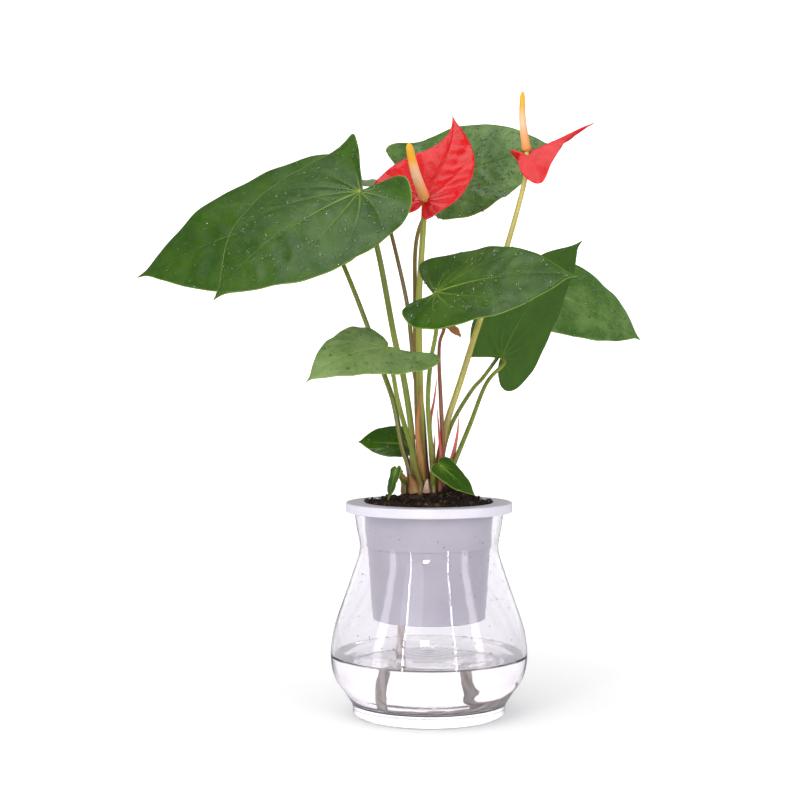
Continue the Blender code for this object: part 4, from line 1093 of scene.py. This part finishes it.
def make_soil():
    rim = INSERT_TOP_RADIUS - INSERT_WALL - TOUCH_GAP
    base = INSERT_BOTTOM_RADIUS - INSERT_WALL - TOUCH_GAP
    steps, rows = 150, 56
    angles = np.linspace(0.0, 2 * math.pi, steps, endpoint=False)
    shares = np.linspace(0.0, 1.0, rows)[1:]
    x = np.outer(shares * rim, np.cos(angles)).ravel()
    y = np.outer(shares * rim, np.sin(angles)).ravel()
    lumps = waves(np.stack([x, y, 0 * x], axis=1), 0.016, 5, 5)
    edge = np.clip((rim - np.hypot(x, y)) / 0.004, 0.0, 1.0)
    top = np.stack([x, y, RIM_TOP + ground(x, y) + 0.0011 * lumps - 0.0012 * (1 - edge)], axis=1)
    wall = [np.stack([r * np.cos(angles), r * np.sin(angles), np.full(steps, z)], axis=1) for r, z in (
        (rim, RIM_TOP - 0.008), (base, INSERT_BOTTOM + INSERT_FLOOR + TOUCH_GAP))]
    points = np.concatenate([top, *wall, [[0, 0, RIM_TOP + ground(0.0, 0.0)], [0, 0, wall[1][0, 2]]]])
    total = rows + 1
    faces = [face[::-1] for face in grid_faces(total, steps)]
    first, last = total * steps, total * steps + 1
    faces += [(first, j, (j + 1) % steps) for j in range(steps)]
    faces += [(last, (total - 1) * steps + (j + 1) % steps, (total - 1) * steps + j) for j in range(steps)]
    rng = np.random.default_rng(11)
    all_points, all_faces, tones = [points], list(faces), [np.full(len(points), 0.3)]
    count = len(points)
    for level, number, small, large in ((2, 620, 0.0008, 0.0019), (1, 1900, 0.0003, 0.0009)):
        shape, shape_faces = crumb_shape(level)
        for _ in range(number):
            reach = (rim + 0.0015) * math.sqrt(rng.random())
            turn = rng.uniform(0.0, 2 * math.pi)
            px, py = reach * math.cos(turn), reach * math.sin(turn)
            size = small + (large - small) * rng.random() ** 2.2
            size *= 0.55 if reach > rim - 0.001 else 1.0
            lift = RIM_TOP + (ground(px, py) if reach < rim - 0.001 else 0.0004)
            rough = 1.0 + 0.28 * rng.normal(size=(len(shape), 1))
            squash = rng.uniform(0.55, 1.25, 3)
            tilt = rng.normal(size=(3, 3))
            turned = shape * rough * squash @ np.linalg.qr(tilt)[0]
            all_points.append(turned * size + (px, py, lift + size * rng.uniform(-0.2, 0.75)))
            all_faces += [tuple(count + k for k in face) for face in shape_faces]
            tones.append(np.full(len(shape), rng.random()))
            count += len(shape)
    all_points, tones = np.concatenate(all_points), np.concatenate(tones)
    mesh = mesh_of("fine_soil", all_points, all_faces, smooth=False, tone=tones)
    peat = soil_material("soil", (0.0075, 0.0034, 0.0022), (0.027, 0.013, 0.008))
    return add_piece("fine_soil", mesh, peat, ("soil",))


def make_crown():
    """The rootstock: a low knobbly dome that the stems stand in, dusted with soil."""
    steps, rows = 72, 22
    tilt = np.linspace(0.0, math.pi * 0.62, rows)
    angles = np.linspace(0.0, 2 * math.pi, steps, endpoint=False)
    ball = np.stack([np.outer(np.sin(tilt), np.cos(angles)), np.outer(np.sin(tilt), np.sin(angles)),
                     np.repeat(np.cos(tilt)[:, None], steps, axis=1)], axis=-1).reshape(-1, 3)
    lumps = 1.0 + 0.10 * waves(ball * 0.02, 0.02, 4, 8)[:, None]
    points = ball * lumps * (0.0165, 0.0135, 0.0050) + (0.0, -0.001, CROWN_TOP - 0.0062)
    poles = [[0, -0.001, CROWN_TOP - 0.0012], [0, -0.001, CROWN_TOP - 0.0110]]
    points = np.concatenate([points[steps:], poles])
    rows -= 1
    faces = [face[::-1] for face in grid_faces(rows, steps)]
    faces += [(rows * steps, j, (j + 1) % steps) for j in range(steps)]
    last = (rows - 1) * steps
    faces += [(rows * steps + 1, last + (j + 1) % steps, last + j) for j in range(steps)]
    bark = soil_material("rootstock", (0.030, 0.016, 0.009), (0.11, 0.065, 0.030))
    mesh = mesh_of("fine_crown", points, faces, tone=np.full(len(points), 0.4))
    return add_piece("fine_crown", mesh, bark, ("crown",))


# The vase, the insert pot, the water and the wick

def clear_material(name, colour, ior):
    return Nodes(name, Base_Color=(*colour, 1.0), Transmission_Weight=1.0, IOR=ior, Roughness=0.0)


def vase_material():
    """Clear pressed glass: slightly uneven, so that reflections waver."""
    glass = clear_material("glass", (0.915, 0.900, 0.932), 1.42)
    ripple = glass.noise(60.0, 2.0, 0.5, glass.stretched((1.0, 1.0, 0.45)))
    pits = glass.noise(420.0, 2.0, 0.5)
    glass.bump(glass.math("MULTIPLY_ADD", pits, 0.25, ripple), 0.16, 0.0006)
    return glass.material


def make_vase():
    outside = vase_outside(80)
    inside = smooth_curve(vase_inside(0.0, 60), 90)[::-1]
    half = VASE_WALL / 2
    lip = [
        (VASE_MOUTH_RADIUS - half - half * math.cos(a), VASE_HEIGHT - half + half * math.sin(a))
        for a in np.linspace(0.0, math.pi, 9)[1:-1]
    ]
    edge = np.linspace(0.0, math.pi / 2, 6)
    foot = [(VASE_FOOT_RADIUS - VASE_EDGE * (1 - math.cos(a)), VASE_EDGE * (1 - math.sin(a))) for a in edge]
    middle = (VASE_FOOT_RADIUS, VASE_FOOT_HEIGHT * 0.5)
    profile = [*inside[:-1], *lip, *outside[1:], middle, *foot, (0.0, 0.0)]
    mesh = turned_mesh("fine_vase", profile, 200)
    return add_piece("fine_vase", mesh, vase_material(), ("vase",))


def make_water():
    """Water that wets the glass: its side lies just within the wall's thickness, so no air is between them,
    and its edge climbs the wall a little. Faint rings lie on its surface."""
    inside = vase_inside(-0.00015, 60)
    level = float(np.interp(WATER_TOP, inside[::-1, 1], inside[::-1, 0]))
    surface = WATER_TOP - 0.0004
    below = inside[inside[:, 1] < surface]
    radii = np.linspace(0.0, level, 90)
    rings = 0.00016 * np.cos(radii / 0.0011) * np.exp(-((radii / 0.017) ** 2))
    rings += 0.00005 * np.cos(radii / 0.0017)
    climb = 0.0001 * np.exp(-(level - radii) / 0.0009)
    top = np.stack([radii, surface + rings + climb], axis=1)
    mesh = turned_mesh("fine_water", [*top, *below], 160)
    water = clear_material("water", (0.945, 0.925, 0.925), 1.333)
    add_piece("fine_water", mesh, water.material, ("water",))
    return water.material


def insert_material():
    """Milky moulded plastic that lets a little light through."""
    plastic = Nodes("white_plastic", Specular_IOR_Level=0.5, Subsurface_Weight=0.25)
    plastic.set("Subsurface Radius", (0.006, 0.006, 0.007))
    plastic.shader.inputs["Subsurface Scale"].default_value = 1.0
    cloud = plastic.noise(35.0, 3.0)
    cloud = plastic.between(cloud, 0.3, 0.7)
    plastic.set("Base Color", plastic.mix(cloud, (0.70, 0.67, 0.76), (0.75, 0.72, 0.80)))
    plastic.set("Roughness", plastic.between(plastic.noise(260.0, 3.0), 0.3, 0.7, 0.28, 0.40))
    plastic.bump(plastic.noise(900.0, 2.0), 0.15, 0.0001)
    return plastic.material


def rounded(corners, radius, steps):
    """A profile with each inner corner rounded, as far as its neighbours allow."""
    corners = [np.array(corner) for corner in corners]
    points = [corners[0]]
    for before, corner, after in zip(corners, corners[1:], corners[2:]):
        reach = min(radius, np.linalg.norm(before - corner) * 0.45, np.linalg.norm(after - corner) * 0.45)
        start = corner + (before - corner) / np.linalg.norm(before - corner) * reach
        end = corner + (after - corner) / np.linalg.norm(after - corner) * reach
        points += list(bezier(start, corner, end, steps))
    points.append(corners[-1])
    return points


def make_insert():
    flange_radius = VASE_MOUTH_RADIUS + LIP_CLEARANCE + LIP_THICKNESS
    under = RIM_TOP - FLANGE_THICKNESS
    collar = VASE_NECK_Z + 0.0015
    slope = INSERT_TAPER / INSERT_DEPTH
    at_collar = INSERT_TOP_RADIUS - slope * (RIM_TOP - collar)
    profile = rounded([
        (0.0, INSERT_BOTTOM + INSERT_FLOOR),
        (INSERT_BOTTOM_RADIUS - INSERT_WALL, INSERT_BOTTOM + INSERT_FLOOR),
        (INSERT_TOP_RADIUS - INSERT_WALL, RIM_TOP - 0.0008),
        (INSERT_TOP_RADIUS - INSERT_WALL + 0.0006, RIM_TOP),
        (flange_radius, RIM_TOP),
        (flange_radius, under - LIP_DROP),
        (flange_radius - LIP_THICKNESS, under - LIP_DROP),
        (flange_radius - LIP_THICKNESS, under),
        (INSERT_TOP_RADIUS, under),
        (at_collar + 0.0002, collar),
        (at_collar - 0.0004, collar - 0.0006),
        (INSERT_BOTTOM_RADIUS, INSERT_BOTTOM),
        (0.0, INSERT_BOTTOM),
    ], 0.0009, 5)
    mesh = turned_mesh("fine_insert_pot", profile, 180)
    mesh.set_sharp_from_angle(angle=math.radians(35))
    return add_piece("fine_insert_pot", mesh, insert_material(), ("insert_pot",))


def wick_material():
    cotton = Nodes("wick_cotton", Specular_IOR_Level=0.2, Sheen_Weight=0.3)
    fibre = cotton.noise(1400.0, 4.0, 0.7)
    # Painted shade: the grooves between the twisted strands are coloured darker than the cotton on the
    # strands
    strand = cotton.between(cotton.attribute("strand"), 0.1, 0.8)
    skin = cotton.mix(strand, (0.70, 0.61, 0.55), (0.94, 0.87, 0.81))
    cotton.set("Base Color", cotton.mix(cotton.between(fibre, 0.4, 0.7, 0.0, 0.4), skin, (0.97, 0.92, 0.87)))
    cotton.set("Roughness", cotton.between(fibre, 0.3, 0.7, 0.75, 0.95))
    cotton.bump(fibre, 0.6, 0.0004)
    return cotton.material


def make_wick():
    """A soft cord of three twisted strands, from the insert's floor down and round along the vase's floor."""
    path = smooth_curve(WICK_POINTS, 150)
    length = float(np.linalg.norm(np.diff(path, axis=0), axis=1).sum())
    twist = length / 0.016 * 2 * math.pi
    strand = lambda share, angle: 0.5 + 0.5 * np.cos(3 * angle + twist * share)
    relief = lambda share, angle: 0.00055 * (strand(share, angle) ** 0.7 - 0.62)
    mesh = tube_mesh("fine_wick", path, WICK_DIAMETER / 2, 36, relief)
    add_from_turn(mesh, "strand", strand)
    wick = add_piece("fine_wick", mesh, wick_material(), ("wick",))
    return wick


def make_vase_drops(vase, water):
    """Splashes on the outside of the glass."""
    rng = np.random.default_rng(77)

    def accept(centres, normals):
        outward = (normals[:, 0] * centres[:, 0] + normals[:, 1] * centres[:, 1]) > 0
        band = (centres[:, 2] > 0.040) & (centres[:, 2] < 0.122)
        return outward & band & (np.hypot(centres[:, 0], centres[:, 1]) > 0.043)

    places, normals = scatter_on(vase, 420, rng, accept)
    radii = 0.0007 * (0.30 + 0.70 * rng.random(len(places)) ** 4)
    add_piece("drops_vase", drops_mesh("drops_vase", places, normals, radii, rng), water)


# The studio

CAMERA_PLACE = (0.0, -0.964, 0.218)
CAMERA_TARGET = (-0.01827, 0.0, 0.1972)
MIDDLE = (0.0, 0.0, 0.2)  # what the lights face
FLOOR_DROP = 0.0004  # the floor lies this far below the vase
BEND_START, BEND_RADIUS = 3.4, 1.2
WALL_TOP, FLOOR_UNDER = 1.8, -0.3


def make_camera():
    data = bpy.data.cameras.new("camera")
    data.sensor_width = 36.0
    data.lens = 68.85
    camera = bpy.data.objects.new("camera", data)
    camera.location = CAMERA_PLACE
    towards = Vector(CAMERA_TARGET) - camera.location
    camera.rotation_euler = towards.to_track_quat("-Z", "Y").to_euler()
    bpy.context.collection.objects.link(camera)
    bpy.context.scene.camera = camera


def make_stage():
    """A pale round floor that curves up into a low wall all round and glows more towards the back."""
    inner = BEND_START + BEND_RADIUS
    outer = inner + 0.1
    bend = [
        (BEND_START + BEND_RADIUS * math.sin(a), BEND_RADIUS * (1 - math.cos(a)) - FLOOR_DROP)
        for a in np.linspace(0.0, math.pi / 2, 14)
    ]
    wall = [(inner, WALL_TOP), (outer, WALL_TOP), (outer, FLOOR_UNDER), (0.0, FLOOR_UNDER)]
    profile = [(0.0, -FLOOR_DROP), *bend, *wall]
    mesh = turned_mesh("floor", profile, 96)
    pale = Nodes("floor", Specular_IOR_Level=0.1, Roughness=0.7)
    pale.set("Emission Color", (1.0, 1.0, 1.0))
    back = pale.make("ShaderNodeSeparateXYZ")
    pale.put(back.inputs[0], pale.place())
    pale.set("Emission Strength", pale.between(back.outputs["Y"], -1.4, 2.5, 0.10, 0.86))
    tint = pale.between(pale.noise(2.0, 2.0), 0.3, 0.7)
    pale.set("Base Color", pale.mix(tint, (0.90, 0.895, 0.90), (0.93, 0.925, 0.93)))
    mesh.materials.append(pale.material)
    floor = bpy.data.objects.new("floor", mesh)
    floor.visible_glossy = False
    bpy.context.collection.objects.link(floor)


def area_light(name, place, size, power, mirrored=True, lights_matt=True):
    """A rectangular light that faces the plant."""
    data = bpy.data.lights.new(name, "AREA")
    data.shape = "RECTANGLE"
    data.size, data.size_y = size
    data.energy = power
    light = bpy.data.objects.new(name, data)
    light.location = place
    light.visible_glossy = mirrored
    light.visible_diffuse = lights_matt
    light.rotation_euler = (Vector(MIDDLE) - Vector(place)).to_track_quat("-Z", "Y").to_euler()
    bpy.context.collection.objects.link(light)


def make_lights():
    """Uneven pieces of two tall strips, soft boxes beside them, a small window, a top and a front light."""
    rng = np.random.default_rng(4)
    for side, x in (("left", -0.62), ("right", 0.66)):
        low = -0.20
        while low < 0.90:
            tall = rng.uniform(0.05, 0.16)
            place = (x, -1.10, low + tall / 2)
            area_light(f"strip_{side}_{low:.2f}", place, (0.035, tall), 3.6 * tall)
            low += tall + rng.uniform(0.02, 0.06)
        outer = math.copysign(1.35, x)
        area_light(f"soft_{side}", (outer, -0.75, 0.35), (0.30, 1.3), 4.5)
    area_light("window", (-0.12, -1.45, 0.50), (0.24, 0.15), 7.0, lights_matt=False)
    area_light("top", (-0.25, -0.35, 1.6), (1.1, 1.1), 10.0)
    area_light("front", (-0.9, -2.0, 1.3), (1.2, 0.9), 9.0, mirrored=False)
    world = bpy.data.worlds.new("studio")
    world.use_nodes = True
    background = world.node_tree.nodes["Background"]
    background.inputs["Color"].default_value = (0.97, 0.96, 1.0, 1.0)
    background.inputs["Strength"].default_value = 0.34
    bpy.context.scene.world = world
    bpy.context.scene.view_settings.view_transform = "Standard"


def main():
    make_camera()
    make_wick()
    make_stage()
    make_lights()
    blades = {blade.name: blade for blade in (*BLADES, *SPATHES)}
    vase = make_vase()
    water = make_water()
    make_insert()
    make_soil()
    make_crown()
    leaves = make_blades(blades)
    make_drops(blades, leaves)
    make_stems(blades)
    make_spadices()
    make_sheaths()
    make_vase_drops(vase, water)


main()
